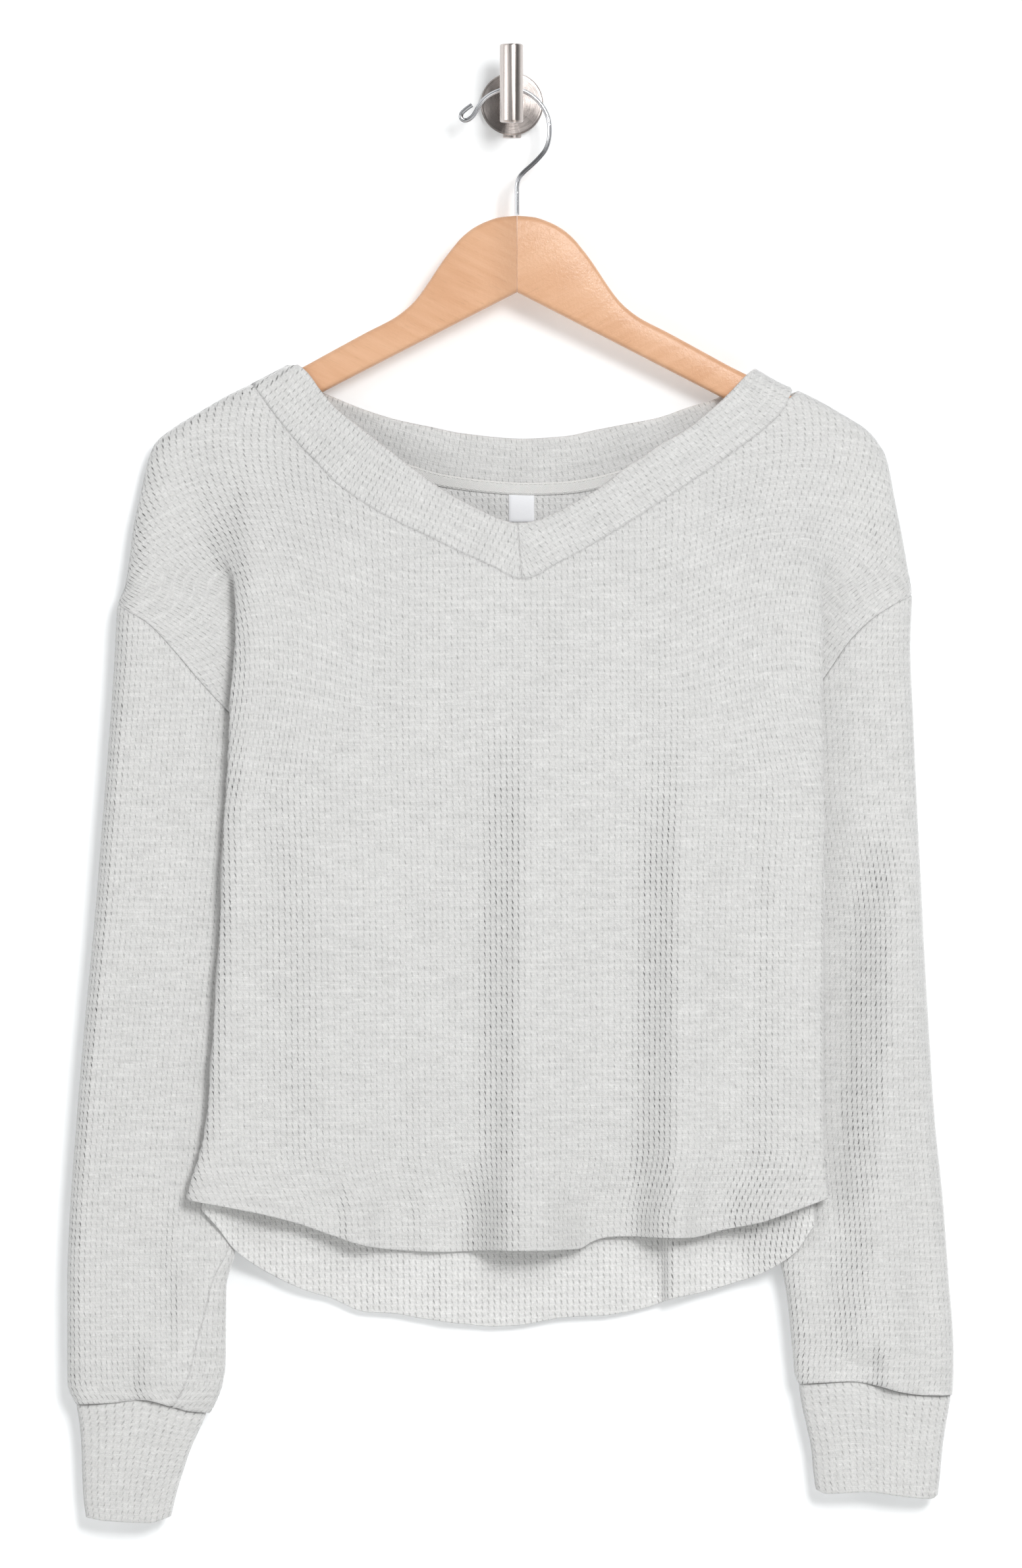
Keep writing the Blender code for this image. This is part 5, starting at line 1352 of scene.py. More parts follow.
def wood_finish(settings, side):
    """Varnished wood with its grain along one arm of the hanger, and painted shade towards the mitre."""
    nodes = Finish("varnished_wood_" + SIDES[side])
    slope = side * math.radians(settings.arm_slope)
    shift, turn = (0.0, side * 0.31, 0.0), (0.0, slope, 0.0)
    grain = nodes.node("ShaderNodeMapping", nodes.spot(), shift, turn).outputs[0]
    warp = nodes.noise(nodes.scaled(grain, (11.0, 26.0, 26.0)), 1.0)
    figure = nodes.noise(nodes.scaled(grain, (16.0, 190.0, 190.0)), 1.0, 3.0, 0.6)
    hair = nodes.noise(nodes.scaled(grain, (60.0, 1500.0, 1500.0)), 1.0, 2.0, 0.6)
    share = nodes.ramp(figure * 0.45 + warp * 0.60 + hair * 0.10, 0.34, 0.84)
    colour = nodes.blend(share, (*settings.wood_light, 1.0), (*settings.wood_dark, 1.0))
    colour = nodes.tint(colour, 1.0 - nodes.ramp(hair, 0.60, 0.76) * 0.10)
    # Painted shade: the colour darkens near the mitre.
    x, _, _ = nodes.parts(nodes.spot())
    near = nodes.ramp(abs(x - HANGER_X * METRE), 0.022, 0.0)
    colour = nodes.tint(colour, 1.0 - near * MITRE_PAINTED_SHADE[side])
    bump = nodes.bump(nodes.noise(nodes.spot(), 420.0, 3.0, 0.7) * 0.22)
    return nodes.put(Base_Color=colour, Roughness=0.5, Normal=bump, Specular_IOR_Level=0.4,
                     Coat_Weight=0.22, Coat_Roughness=0.16, Coat_Normal=bump)


def chrome_finish(settings):
    """Bright wire with a few fine scratches, painted darker on a band of its bend, on its curl and on its
    sides.
    """
    nodes = Finish("chrome_wire")
    scratch = nodes.noise(nodes.spot(), 900.0, 2.0, 0.6)
    x, _, z = nodes.parts(nodes.spot())
    # Painted dark reflection: a band partway up the wire, and its curl, are painted darker in colour.
    painted_dark_band = nodes.ramp(z, -0.049, -0.044) * nodes.ramp(z, -0.022, -0.034)
    painted_dark_curl = nodes.ramp(x, -0.016, -0.026)
    painted_darkening = nodes.math("MAXIMUM", painted_dark_band * 0.75, painted_dark_curl * 0.45)
    # Painted reflection: its sides are painted darker than its front, as if mirroring a darker part of the
    # room.
    facing = nodes.parts(nodes.node("ShaderNodeNewGeometry").outputs["Normal"])[1]
    tone = (1.0 - painted_darkening) * nodes.ramp(facing * -1.0, 0.35, 0.8, 0.38, 1.0)
    return nodes.put(Base_Color=nodes.tint(tuple(settings.chrome), tone), Metallic=1.0,
                     Roughness=nodes.ramp(scratch, 0.45, 0.8, 0.07, 0.22), Normal=nodes.bump(scratch * 0.02))


BAR_RADIUS = 7.2
# Painted reflections of the brushed steel: dark and bright bands across the bar, left to right, and round
# the plate from the left side.
BAR_PAINTED_REFLECTION = ((0.0, 0.85), (0.10, 1.0), (0.30, 1.0), (0.41, 0.7), (0.48, 0.35), (0.55, 0.6), (0.59, 1.4),
             (0.64, 1.2), (0.69, 0.35), (0.80, 0.6), (0.90, 0.9), (1.0, 1.1))
PLATE_PAINTED_REFLECTION = ((0.0, 0.42), (0.10, 0.30), (0.19, 0.26), (0.24, 0.95), (0.29, 0.42), (0.38, 0.30),
               (0.44, 0.65), (0.52, 1.15), (0.60, 0.85), (0.70, 1.1), (0.80, 0.75), (0.90, 0.40),
               (1.0, 0.42))


def steel_finish(settings, name, in_rings=False):
    """Brushed steel, its scratches upright or in rings, with painted reflection bands in its colour."""
    nodes = Finish("brushed_steel_" + name)
    place = nodes.spot()
    x, _, z = nodes.parts(place)
    if in_rings:
        angle = nodes.math("ARCTAN2", z, x)
        radius = (x ** 2.0 + z ** 2.0).root()
        lines = nodes.joined(radius * 2600.0, angle * 1.6)
        rays = nodes.noise(nodes.joined(angle * 9.0, radius * 50.0), 1.0)
        # Painted reflection: bands of tone round the plate.
        tone = nodes.bands(angle / (2 * math.pi) + 0.5 + (rays - 0.5) * 0.07, PLATE_PAINTED_REFLECTION)
    else:
        lines = nodes.scaled(place, (2600.0, 2600.0, 40.0))
        # Painted reflection: bands of tone across the bar.
        tone = nodes.bands(x / (2 * BAR_RADIUS * METRE) + 0.5, BAR_PAINTED_REFLECTION)
    hair = nodes.noise(lines, 1.0, 3.0, 0.6)
    return nodes.put(Base_Color=nodes.tint(tuple(settings.steel), tone * (0.82 + hair * 0.36)), Metallic=1.0,
                     Roughness=nodes.ramp(hair, 0.3, 0.7, 0.24, 0.36), Normal=nodes.bump(hair * 0.01))


# ---------------- properties
class KnitSettings(bpy.types.PropertyGroup):
    cell_width: FloatProperty(name="Wale", description="Width of one waffle of the knit, in millimetres",
                              default=3.75, min=2.0)
    cell_height: FloatProperty(name="Course", description="Height of one waffle of the knit, in millimetres",
                               default=4.05, min=2.0)
    sleeve_width: FloatProperty(name="Sleeve wale", description="The same width on the sleeves",
                                default=3.35, min=2.0)
    sleeve_height: FloatProperty(name="Sleeve course", description="The same height on the sleeves",
                                 default=4.25, min=2.0)
    relief: FloatProperty(name="Relief", description="Height of the ridges over the middle, in millimetres",
                          default=0.42, min=0.0)
    colour: FloatVectorProperty(name="Yarn", description="Colour of the heathered yarn", subtype="COLOR",
                                size=3, default=(0.685, 0.683, 0.676))
    tape_colour: FloatVectorProperty(name="Tape", description="Colour of the herringbone tape",
                                     subtype="COLOR", size=3, default=(0.87, 0.865, 0.85))
    label_colour: FloatVectorProperty(name="Label", description="Colour of the blank label",
                                      subtype="COLOR", size=3, default=(0.96, 0.97, 1.0))


class HangerSettings(bpy.types.PropertyGroup):
    wire_radius: FloatProperty(name="Wire radius", description="Radius of the bent wire", unit="LENGTH",
                               default=0.0014, min=0.0005)
    arm_slope: FloatProperty(name="Arm slope", description="Fall of each arm, in degrees", default=27.0)
    wood_light: FloatVectorProperty(name="Light wood", description="Lighter tone of the wood",
                                    subtype="COLOR", size=3, default=(0.77, 0.455, 0.275))
    wood_dark: FloatVectorProperty(name="Dark wood", description="Darker tone of the wood",
                                   subtype="COLOR", size=3, default=(0.66, 0.35, 0.19))
    chrome: FloatVectorProperty(name="Chrome", description="Colour of the wire", subtype="COLOR", size=3,
                                default=(0.80, 0.81, 0.84))


class WallHookSettings(bpy.types.PropertyGroup):
    edge: FloatProperty(name="Edge", description="Rounding of the turned edges", unit="LENGTH",
                        default=0.0012, min=0.0)
    steel: FloatVectorProperty(name="Steel", description="Colour of the brushed steel", subtype="COLOR",
                               size=3, default=(0.66, 0.60, 0.57))


class StageSettings(bpy.types.PropertyGroup):
    key_watts: FloatProperty(name="Key light", description="Strength of the large soft light", unit="POWER",
                             default=180.0, min=0.0)
    fill: FloatProperty(name="Fill", description="Strength of the light from all round", default=0.24,
                        min=0.0)
    wall_glow: FloatProperty(name="Wall glow", description="Light that the white wall gives off",
                             default=0.15, min=0.0)
    camera_distance: FloatProperty(name="Camera distance", description="From the wall to the camera",
                                   unit="LENGTH", default=6.0, min=1.0)


class ThermalTopSettings(bpy.types.PropertyGroup):
    knit: PointerProperty(type=KnitSettings, name="Knit", description="The knitted cloth and its trims")
    hanger: PointerProperty(type=HangerSettings, name="Hanger", description="The wooden hanger")
    wall_hook: PointerProperty(type=WallHookSettings, name="Wall hook", description="The steel wall hook")
    stage: PointerProperty(type=StageSettings, name="Stage", description="Camera, light, wall and floor")


MADE = {}              # skins and finishes that several operators share


def skins():
    if "skins" not in MADE:
        MADE["skins"] = {face: Skin(face) for face in ("front", "back")}
    return MADE["skins"]


def knit(settings):
    if "knit" not in MADE:
        MADE["knit"] = knit_finish(settings)
    return MADE["knit"]


def declare(piece, flat, area, rests_on):
    """Work out the size of the cut cloth in metres and square metres; the results are not kept."""
    flat[0] * METRE
    flat[1] * METRE
    area * METRE ** 2


def flat_size(outlines):
    """Width, length and area of flat cloth that holds the given cuts side by side."""
    area = sum(abs(twice_area(outline)) / 2 for outline in outlines)
    width = max(np.ptp(outline[:, 0]) for outline in outlines)
    length = sum(np.ptp(outline[:, 1]) for outline in outlines)
    return (width, length), area


class THERMAL_OT_panels(bpy.types.Operator):
    """Make the front and the back"""
    bl_idname = "thermal_top.panels"
    bl_label = "Front and back"

    def execute(self, context):
        settings = context.scene.thermal_top.knit
        cell = (settings.cell_width, settings.cell_height)
        for face, neck, hem in (("front", FRONT_NECK, FRONT_HEM), ("back", BACK_NECK, BACK_HEM)):
            skin = skins()[face]
            spots, kinds = panel_outline(skin, neck, hem)
            outline = drawn_in(swing_back(spots), kinds)
            cloth = Cloth()
            shell(cloth, skin, outline, swing, cell, settings.relief, kinds)
            piece = cloth.make(face + "_panel", knit(settings), [face], "waffle_knit")
            declare(piece, *flat_size([outline]), ARMS)
        return {"FINISHED"}


class THERMAL_OT_sleeves(bpy.types.Operator):
    """Make both sleeves"""
    bl_idname = "thermal_top.sleeves"
    bl_label = "Sleeves"

    def execute(self, context):
        settings = context.scene.thermal_top.knit
        cell = (settings.sleeve_width, settings.sleeve_height)
        for side, word in SIDES.items():
            tube = Tube(side)
            spots, kinds = sleeve_outline(tube, side, skins())
            outline = drawn_in(spots, kinds)
            cloth = Cloth()
            shell(cloth, tube, outline, as_it_lies, cell, settings.relief, kinds)
            piece = cloth.make("sleeve_" + word + "_knit", knit(settings), ["sleeve_" + word], "waffle_knit")
            declare(piece, *flat_size([outline]), ["front_panel", "back_panel"])
        return {"FINISHED"}


class THERMAL_OT_neckband(bpy.types.Operator):
    """Make the neckband in three stretches: down each side of the V and round the nape"""
    bl_idname = "thermal_top.neckband"
    bl_label = "Neckband"

    def execute(self, context):
        settings = context.scene.thermal_top.knit
        cell = (settings.cell_width, settings.cell_height)
        cloth, cuts = Cloth(), []
        for face, side in (("front", -1), ("front", 1), ("back", 0)):
            skin = skins()[face]
            seam = FRONT_NECK if face == "front" else BACK_NECK
            first = CENTRE_X if side > 0 else seam["x"][0]
            last = CENTRE_X if side < 0 else seam["x"][-1]
            strip = Strip(edge_line(skin, seam, np.arange(first, last, EDGE_STEP)))
            spots, kinds = band_outline(skin, face, side)
            outline = drawn_in(strip.unlay(spots), kinds)
            shell(cloth, skin, outline, strip.lay, cell, settings.relief * 0.8, kinds, 2.1, face == "back")
            cuts.append(outline)
        piece = cloth.make("neckband_knit", knit(settings), ["neckband"], "waffle_knit")
        declare(piece, *flat_size(cuts), ARMS)
        return {"FINISHED"}


class THERMAL_OT_cuffs(bpy.types.Operator):
    """Make both cuffs"""
    bl_idname = "thermal_top.cuffs"
    bl_label = "Cuffs"

    def execute(self, context):
        settings = context.scene.thermal_top.knit
        for side, word in SIDES.items():
            rows, drop = cuff(side, settings.relief)
            cloth = Cloth()
            add_tube(cloth, rows, side < 0, (0.5, 0.5))
            piece = cloth.make("cuff_" + word + "_knit", knit(settings), ["cuff_" + word], "waffle_knit")
            girth = rows.shape[1] / 2 * CUFF_CELL[0]
            declare(piece, (girth, drop), girth * drop, ["sleeve_" + word + "_knit"])
        return {"FINISHED"}


class THERMAL_OT_tape(bpy.types.Operator):
    """Make the herringbone tape inside the back neck, its stitches and the blank label"""
    bl_idname = "thermal_top.tape"
    bl_label = "Tape and label"

    def execute(self, context):
        settings = context.scene.thermal_top.knit
        skin = skins()["back"]
        strip = Strip(edge_line(skin, BACK_NECK, np.arange(*TAPE_REACH, EDGE_STEP)))
        ends = [strip.unlay(np.array(edge_line(skin, BACK_NECK, [x])))[0, 0] for x in TAPE_REACH]
        foot = TAPE_TOP - TAPE_HEIGHT
        outline = rectangle(ends[0], ends[1], foot, TAPE_TOP, TRIM_STEP)
        tape = Cloth()
        finish = tape_finish(settings)
        shell(tape, Lining(skin, TAPE_DEPTH), outline, strip.lay, TRIM_CELL, 0.0,
              np.full(len(outline), OPEN), TAPE_THICK, unit=(1.0, 1.0))
        piece = tape.make("neck_tape_woven", finish, ["neck_tape"], "neck_tape")
        stitches = self.stitches(skin, strip, ends, foot, finish)
        self.label(settings, skin)
        return {"FINISHED"}

    @staticmethod
    def stitches(skin, strip, ends, foot, finish):
        """The stitches that hold the tape down along both of its edges."""
        thread = Cloth()
        over = Lining(skin, TAPE_DEPTH + TAPE_THICK * 0.62)
        for off in (foot + STITCH_INSET, TAPE_TOP - STITCH_INSET):
            marks = np.arange(ends[0] + 1.5, ends[1] - STITCH_LENGTH - 1.0, STITCH_PITCH)
            first, last = (strip.lay(np.stack([marks + shift, np.full(len(marks), off)], 1)).T
                           for shift in (0.0, STITCH_LENGTH))
            stitch_row(thread, over.place(*first), over.place(*last), over.facing(*first), STITCH_RADIUS)
        return thread.make("tape_stitches", finish, [], "neck_tape")

    @staticmethod
    def label(settings, skin):
        """A blank label that hangs from under the tape."""
        top = float(read(BACK_NECK, "z", LABEL_X)) + TAPE_TOP - TAPE_HEIGHT + 1.0
        middle = float(skin.along_of(LABEL_X, top))
        left, right = middle - LABEL_WIDTH / 2, middle + LABEL_WIDTH / 2
        outline = rectangle(left, right, top - LABEL_HEIGHT, top, TRIM_STEP)
        cloth = Cloth()
        shell(cloth, Lining(skin, LABEL_DEPTH), outline, as_it_lies, TRIM_CELL, 0.0,
              np.full(len(outline), OPEN), LABEL_THICK, unit=(1.0, 1.0))
        piece = cloth.make("label_satin", label_finish(settings), ["label"], "blank_label")
        declare(piece, (LABEL_WIDTH, LABEL_HEIGHT), LABEL_WIDTH * LABEL_HEIGHT, ["neck_tape_woven"])


# ---------------- hanger and wall hook
ARM_TOP = table(
    "away z", (0, -70.4), (10, -71.2), (18, -73.6), (26, -77.4), (34, -83.6), (40, -90.6), (46, -98.5),
    (51, -106), (57, -115), (63, -122.8), (69, -128.4), (76, -133.4), (92, -141.6), (115, -154),
    (132, -163.2), (163, -178), (197, -195.6), (208, -203.2), (213.5, -209), (216, -215))
ARM_FOOT = table(
    "away z", (0, -117.3), (120, -178.6), (200, -219.6), (210, -223), (214.5, -221), (216, -218))
ARM_ROUND = 3.6
ARM_CORNER = 5         # points on each rounded corner of the arm's section
TAPER_FROM = 175.0     # the arm thins from here to its tip
TAPER_BEND, TIP_LEFT = 2.5, 0.15       # late and rounded, down to this share, squared
MITRE_GAP, MITRE_EDGE = 0.10, 0.15
ARM_STATIONS = (MITRE_GAP, MITRE_GAP + 0.15, *range(3, 208, 3), 208.0, 210.5, 213.0, 215.0, 216.0)
WIRE_START = -69.85
WIRE_STEPS = 5
HOOK_PATH = (
    (3.1, -71.2), (3.1, -58), (3.2, -51.5), (4.6, -46.8), (7.6, -43.2), (11, -40.2), (14.6, -36.8),
    (17.8, -33.4), (20.6, -29.6), (22.5, -24.5), (23.2, -19), (23, -14), (22, -9.4), (20, -5),
    (17.2, -1), (13.8, 2.4), (10.2, 4.9), (6.5, 6.6), (2.8, 7.7), (-0.8, 8.05), (-4.4, 7.6),
    (-8.2, 6.5), (-12.4, 4.7), (-16, 2.3), (-18.6, -0.3), (-20.6, -3.2), (-22.4, -6.4), (-24.4, -9.3),
    (-27, -11.2), (-29.6, -11.6), (-31.3, -10.1), (-31.1, -7.6), (-29.2, -5.5), (-26.8, -3.6),
    (-24.6, -2.1))


def alone(piece):
    """Select one object and make it the active one."""
    bpy.ops.object.select_all(action="DESELECT")
    piece.select_set(True)
    bpy.context.view_layer.objects.active = piece


def settle(piece, finish, nodes, angle=35.0):
    """Put a finished hard piece's place into its mesh and hand it over to its body."""
    alone(piece)
    for modifier in list(piece.modifiers):
        bpy.ops.object.modifier_apply(modifier=modifier.name)
    bpy.ops.object.transform_apply(location=True, rotation=True, scale=True)
    bpy.ops.object.shade_smooth_by_angle(angle=math.radians(angle))
    piece.data.materials.clear()
    piece.data.materials.append(finish)
    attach(piece, BODY)
    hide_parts(*nodes)
    return piece


def arm_section(side, away, less=0.0):
    """Rounded section of an arm, as points in metres; less draws it in at the mitre."""
    top, foot = float(read(ARM_TOP, "z", away)), float(read(ARM_FOOT, "z", away))
    middle = Vector((HANGER_X + side * away, float(arm_depth(HANGER_X + away)), (top + foot) / 2))
    thinned = max(away - TAPER_FROM, 0.0) / (TIP_X - TAPER_FROM)
    half_y = ARM_THICK / 2 * math.sqrt(max(TIP_LEFT, 1 - thinned ** TAPER_BEND)) - less
    half_z = (top - foot) / 2 - less
    soft = min(ARM_ROUND, half_y * 0.8, half_z * 0.8)
    points = []
    for quarter, (across, up) in enumerate(((1, 1), (-1, 1), (-1, -1), (1, -1))):
        for k in range(ARM_CORNER):
            turn = math.radians(90 * (quarter + k / (ARM_CORNER - 1)))
            points.append((middle + Vector((0.0, across * (half_y - soft) + soft * math.cos(turn),
                                            up * (half_z - soft) + soft * math.sin(turn)))) * METRE)
    return points


def add_arm(side, finish):
    """One arm: a rounded section drawn out station by station from the mitre to the tip."""
    word = SIDES[side]
    bpy.ops.object.select_all(action="DESELECT")
    bpy.ops.mesh.primitive_circle_add(vertices=4 * ARM_CORNER, radius=ARM_THICK / 2 * METRE,
                                      fill_type="NGON", rotation=(0.0, math.pi / 2, 0.0))
    bpy.ops.object.transform_apply(location=True, rotation=True, scale=True)
    piece = bpy.context.active_object
    piece.name = "hanger_arm_" + word + "_wood"
    bpy.ops.object.mode_set(mode="EDIT")
    mesh = bmesh.from_edit_mesh(piece.data)
    corner = mesh.verts.layers.int.new("corner")
    mesh.faces.ensure_lookup_table()
    for number, vert in enumerate(mesh.faces[0].verts):
        vert[corner] = number
    bmesh.update_edit_mesh(piece.data)
    bpy.ops.mesh.select_all(action="SELECT")
    for number, away in enumerate(ARM_STATIONS):
        if number:
            step = side * (away - ARM_STATIONS[number - 1]) * METRE
            bpy.ops.mesh.extrude_region_move(TRANSFORM_OT_translate={"value": (step, 0.0, 0.0)})
        mesh = bmesh.from_edit_mesh(piece.data)
        corner = mesh.verts.layers.int["corner"]
        points = arm_section(side, away, 0.0 if number else MITRE_EDGE)
        for vert in mesh.verts:
            if vert.select:
                vert.co = points[vert[corner]]
        bmesh.update_edit_mesh(piece.data)
    bpy.ops.mesh.select_all(action="SELECT")
    bpy.ops.mesh.normals_make_consistent(inside=False)
    bpy.ops.object.mode_set(mode="OBJECT")
    return settle(piece, finish, ["hanger_arm_" + word], 35.0)


def add_wire(finish, radius):
    """The hook: a wire bent along a smooth line through its path."""
    path = np.array([(x, HOOK_DEPTH, z) for x, z in HOOK_PATH])
    path[0, 2] = WIRE_START
    fine = curve_through(path, WIRE_STEPS)
    curve = bpy.data.curves.new("hook_wire", "CURVE")
    curve.dimensions = "3D"
    curve.bevel_depth, curve.bevel_resolution, curve.use_fill_caps = radius, 5, True
    line = curve.splines.new("POLY")
    line.points.add(len(fine) - 1)
    for point, place in zip(line.points, fine):
        point.co = (*(place * METRE), 1.0)
    piece = bpy.data.objects.new("hanger_hook_wire", curve)
    bpy.context.scene.collection.objects.link(piece)
    alone(piece)
    bpy.ops.object.convert(target="MESH")
    return settle(bpy.context.active_object, finish, ["hanger_hook"], 50.0)


def add_turned(name, node, finish, rotation, edge):
    """A turned bar as large as its node, with softened rims."""
    low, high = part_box(node)
    size = Vector(high) - Vector(low)
    bpy.ops.object.select_all(action="DESELECT")
    along = 1 if rotation[0] else 2
    bpy.ops.mesh.primitive_cylinder_add(vertices=96, radius=size[0] / 2, depth=size[along],
                                        location=(Vector(low) + Vector(high)) / 2, rotation=rotation)
    piece = bpy.context.active_object
    piece.name = name
    bpy.ops.object.mode_set(mode="EDIT")
    bpy.ops.mesh.select_all(action="DESELECT")
    mesh = bmesh.from_edit_mesh(piece.data)
    for face in mesh.faces:
        face.select_set(len(face.verts) > 4)
    bmesh.update_edit_mesh(piece.data)
    bpy.ops.mesh.inset(thickness=edge * 1.6)
    bpy.ops.object.mode_set(mode="OBJECT")
    bevel = piece.modifiers.new("rim", "BEVEL")
    bevel.width, bevel.segments, bevel.limit_method, bevel.angle_limit = edge, 5, "ANGLE", math.radians(60)
    return settle(piece, finish, [node], 30.0)


class THERMAL_OT_hanger(bpy.types.Operator):
    """Make both arms of the hanger and its bent wire"""
    bl_idname = "thermal_top.hanger"
    bl_label = "Hanger"

    def execute(self, context):
        settings = context.scene.thermal_top.hanger
        for side in SIDES:
            add_arm(side, wood_finish(settings, side))
        add_wire(chrome_finish(settings), settings.wire_radius)
        return {"FINISHED"}


class THERMAL_OT_wall_hook(bpy.types.Operator):
    """Make the plate, post, bar and bracket of the wall hook"""
    bl_idname = "thermal_top.wall_hook"
    bl_label = "Wall hook"

    def execute(self, context):
        settings = context.scene.thermal_top.wall_hook
        lying_down, upright = (math.pi / 2, 0.0, 0.0), (0.0, 0.0, 0.0)
        for word, turn, soft in (("plate", lying_down, 1.0), ("post", lying_down, 0.25),
                                 ("bar", upright, 1.0)):
            finish = steel_finish(settings, word, word == "plate")
            add_turned("wall_" + word + "_turned", "wall_" + word, finish, turn, settings.edge * soft)
        low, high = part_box("wall_bracket")
        bpy.ops.object.select_all(action="DESELECT")
        bpy.ops.mesh.primitive_cube_add(size=1.0, location=(Vector(low) + Vector(high)) / 2)
        piece = bpy.context.active_object
        piece.name = "wall_bracket_plate"
        bpy.ops.transform.resize(value=tuple(Vector(high) - Vector(low)))
        bpy.ops.object.transform_apply(location=True, rotation=True, scale=True)
        bevel = piece.modifiers.new("edge", "BEVEL")
        bevel.width, bevel.segments = settings.edge * 0.3, 3
        settle(piece, steel_finish(settings, "bracket"), ["wall_bracket"])
        return {"FINISHED"}


# ---------------- wall, light and camera
FRAME_HEIGHT = 0.9639          # height of the frame at the depth of the cloth
FRAME_MIDDLE = (-0.0006, -0.4198)
CLOTH_DEPTH = -0.030
SENSOR = 36.0                  # millimetres
# Soft lights: name, place, size and share of the key light's strength.  All of them look at LIT.
LIGHTS = (("key", (1.50, -4.8, 1.25), 1.3, 0.79), ("top", (1.60, -3.9, 2.7), 1.3, 0.18),
          ("left_fill", (-4.2, -2.9, 0.0), 2.2, 0.22), ("back_fill", (-0.9, 2.4, 0.6), 1.6, 0.05))
LIT = (0.0, 0.0, -0.42)
WALL_PLACE, FLOOR_PLACE, STAGE_HALF = (0.0, 0.0004, -0.4), (0.0, 0.0, -1.65), 7.0
# Brightness that polished pieces mirror, from the far left (0) past the camera to the far right (1).
MIRRORED = ((0.0, 3.0), (0.20, 3.3), (0.33, 2.6), (0.41, 0.9), (0.47, 0.6), (0.54, 5.0), (0.62, 5.0),
            (0.70, 0.6), (0.82, 0.35), (0.90, 1.2), (1.0, 2.0))


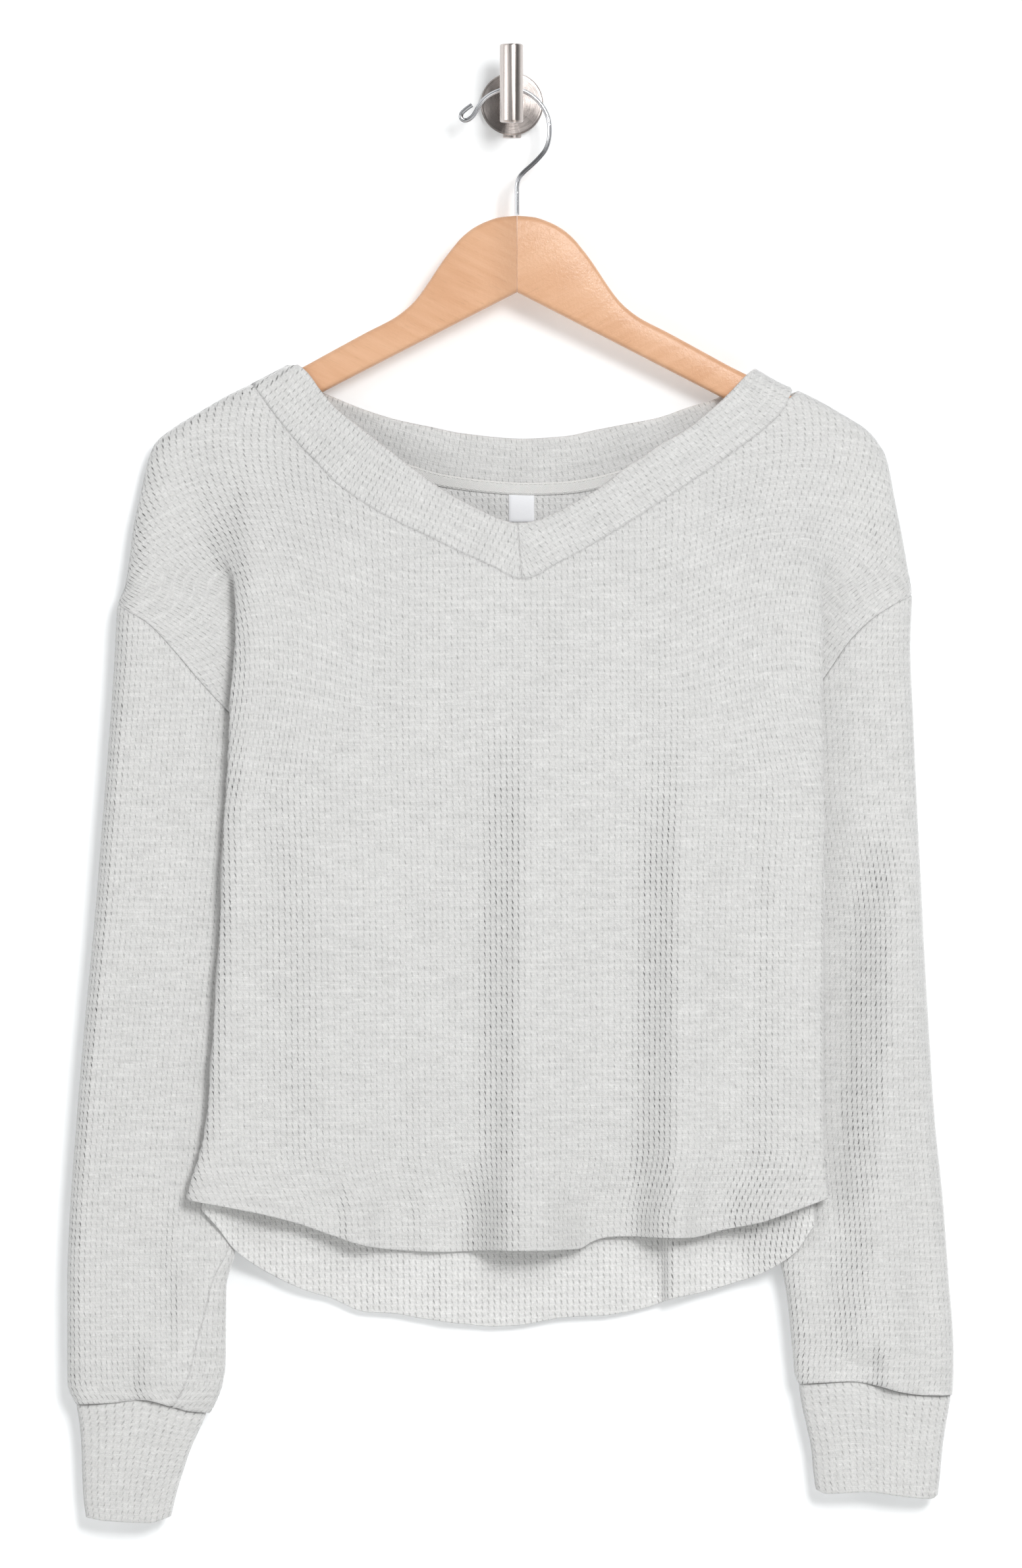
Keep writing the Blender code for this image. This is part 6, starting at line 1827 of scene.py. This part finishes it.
class THERMAL_OT_stage(bpy.types.Operator):
    """Set the camera, the soft lights, the wall and the floor"""
    bl_idname = "thermal_top.stage"
    bl_label = "Stage"

    def execute(self, context):
        settings = context.scene.thermal_top.stage
        scene = context.scene
        camera = bpy.data.cameras.new("camera")
        camera.sensor_width = SENSOR
        camera.lens = SENSOR * (settings.camera_distance + CLOTH_DEPTH) / FRAME_HEIGHT
        camera.clip_end = 60.0
        view = bpy.data.objects.new("camera", camera)
        view.location = (FRAME_MIDDLE[0], -settings.camera_distance, FRAME_MIDDLE[1])
        view.rotation_euler = (math.pi / 2, 0.0, 0.0)
        scene.collection.objects.link(view)
        scene.camera = view
        for name, place, size, share in LIGHTS:
            self.light(name, place, size, settings.key_watts * share)
        self.wall(context, settings)
        self.world(scene, settings.fill)
        scene.view_settings.view_transform = "Standard"
        scene.view_settings.look = "None"
        return {"FINISHED"}

    @staticmethod
    def light(name, place, size, watts):
        lamp = bpy.data.lights.new(name, "AREA")
        lamp.size, lamp.energy = size, watts
        made = bpy.data.objects.new(name, lamp)
        made.location = place
        made.rotation_mode = "QUATERNION"
        made.rotation_quaternion = (Vector(LIT) - Vector(place)).to_track_quat("-Z", "Y")
        bpy.context.scene.collection.objects.link(made)

    @staticmethod
    def wall(context, settings):
        """A white wall that shows from the front alone, and a pale floor far below."""
        nodes = Finish("stage_wall")
        nodes.put(Base_Color=(0.915, 0.93, 0.94, 1.0), Roughness=1.0, Specular_IOR_Level=0.0,
                  Emission_Color=(1.0, 1.0, 1.0, 1.0), Emission_Strength=settings.wall_glow)
        behind = nodes.node("ShaderNodeNewGeometry").outputs["Backfacing"]
        shadow = nodes.node("ShaderNodeLightPath").outputs["Is Shadow Ray"]
        clear = nodes.node("ShaderNodeBsdfTransparent").outputs[0]
        mixed = nodes.node("ShaderNodeMixShader", nodes.math("MAXIMUM", behind, shadow),
                           nodes.shader.outputs[0], clear)
        nodes.fill(nodes.tree.nodes["Material Output"].inputs["Surface"], mixed.outputs[0])
        floor = Finish("stage_floor").put(Base_Color=(0.80, 0.80, 0.79, 1.0), Roughness=0.9)
        half = STAGE_HALF
        corners = [(-half, -half, 0.0), (half, -half, 0.0), (half, half, 0.0), (-half, half, 0.0)]
        for name, place, turn, finish in (("stage_wall", WALL_PLACE, math.pi / 2, nodes.material),
                                          ("stage_floor", FLOOR_PLACE, 0.0, floor)):
            mesh = bpy.data.meshes.new(name)
            mesh.from_pydata(corners, [], [(0, 1, 2, 3)])
            mesh.materials.append(finish)
            made = bpy.data.objects.new(name, mesh)
            made.location, made.rotation_euler = place, (turn, 0.0, 0.0)
            context.scene.collection.objects.link(made)

    @staticmethod
    def world(scene, fill):
        """A pale studio all round; polished pieces mirror darker bands beside the camera."""
        world = scene.world or bpy.data.worlds.new("studio")
        scene.world = world
        world.use_nodes = True
        nodes = Nodes(world.node_tree)
        nodes.tree.nodes.clear()
        across, _, up = nodes.parts(nodes.node("ShaderNodeTexCoord").outputs["Generated"])
        seen = nodes.bands(nodes.math("MULTIPLY_ADD", across, 0.5, 0.5), MIRRORED)
        seen = seen * nodes.ramp(up, -0.75, -0.15, 0.12, 1.0)
        glossy = nodes.node("ShaderNodeLightPath").outputs["Is Glossy Ray"]
        shade = Value(nodes, nodes.node("ShaderNodeMix", glossy, 1.0, seen).outputs[0])
        light = nodes.node("ShaderNodeBackground", (1.0, 1.0, 1.0, 1.0), shade * fill)
        nodes.fill(nodes.node("ShaderNodeOutputWorld").inputs["Surface"], light.outputs[0])


class THERMAL_PT_panel(bpy.types.Panel):
    """Sizes and finishes of the thermal top"""
    bl_idname = "THERMAL_PT_panel"
    bl_label = "Thermal top"
    bl_space_type = "VIEW_3D"
    bl_region_type = "UI"
    bl_category = "Thermal top"

    def draw(self, context):
        settings = context.scene.thermal_top
        for group in (settings.knit, settings.hanger, settings.wall_hook, settings.stage):
            box = self.layout.box()
            for name in group.__annotations__:
                box.prop(group, name)
        for operator in OPERATORS:
            self.layout.operator(operator.bl_idname)


OPERATORS = (THERMAL_OT_stage, THERMAL_OT_panels, THERMAL_OT_sleeves, THERMAL_OT_cuffs, THERMAL_OT_neckband,
             THERMAL_OT_tape, THERMAL_OT_hanger, THERMAL_OT_wall_hook)
CLASSES = (KnitSettings, HangerSettings, WallHookSettings, StageSettings, ThermalTopSettings,
           *OPERATORS, THERMAL_PT_panel)


def register():
    for cls in CLASSES:
        bpy.utils.register_class(cls)
    bpy.types.Scene.thermal_top = PointerProperty(type=ThermalTopSettings, name="Thermal top",
                                                  description="Sizes and finishes of the thermal top")


def unregister():
    del bpy.types.Scene.thermal_top
    for cls in reversed(CLASSES):
        bpy.utils.unregister_class(cls)


def main():
    register()
    for operator in OPERATORS:
        group, name = operator.bl_idname.split(".")
        getattr(getattr(bpy.ops, group), name)()


if __name__ == "__main__":
    main()
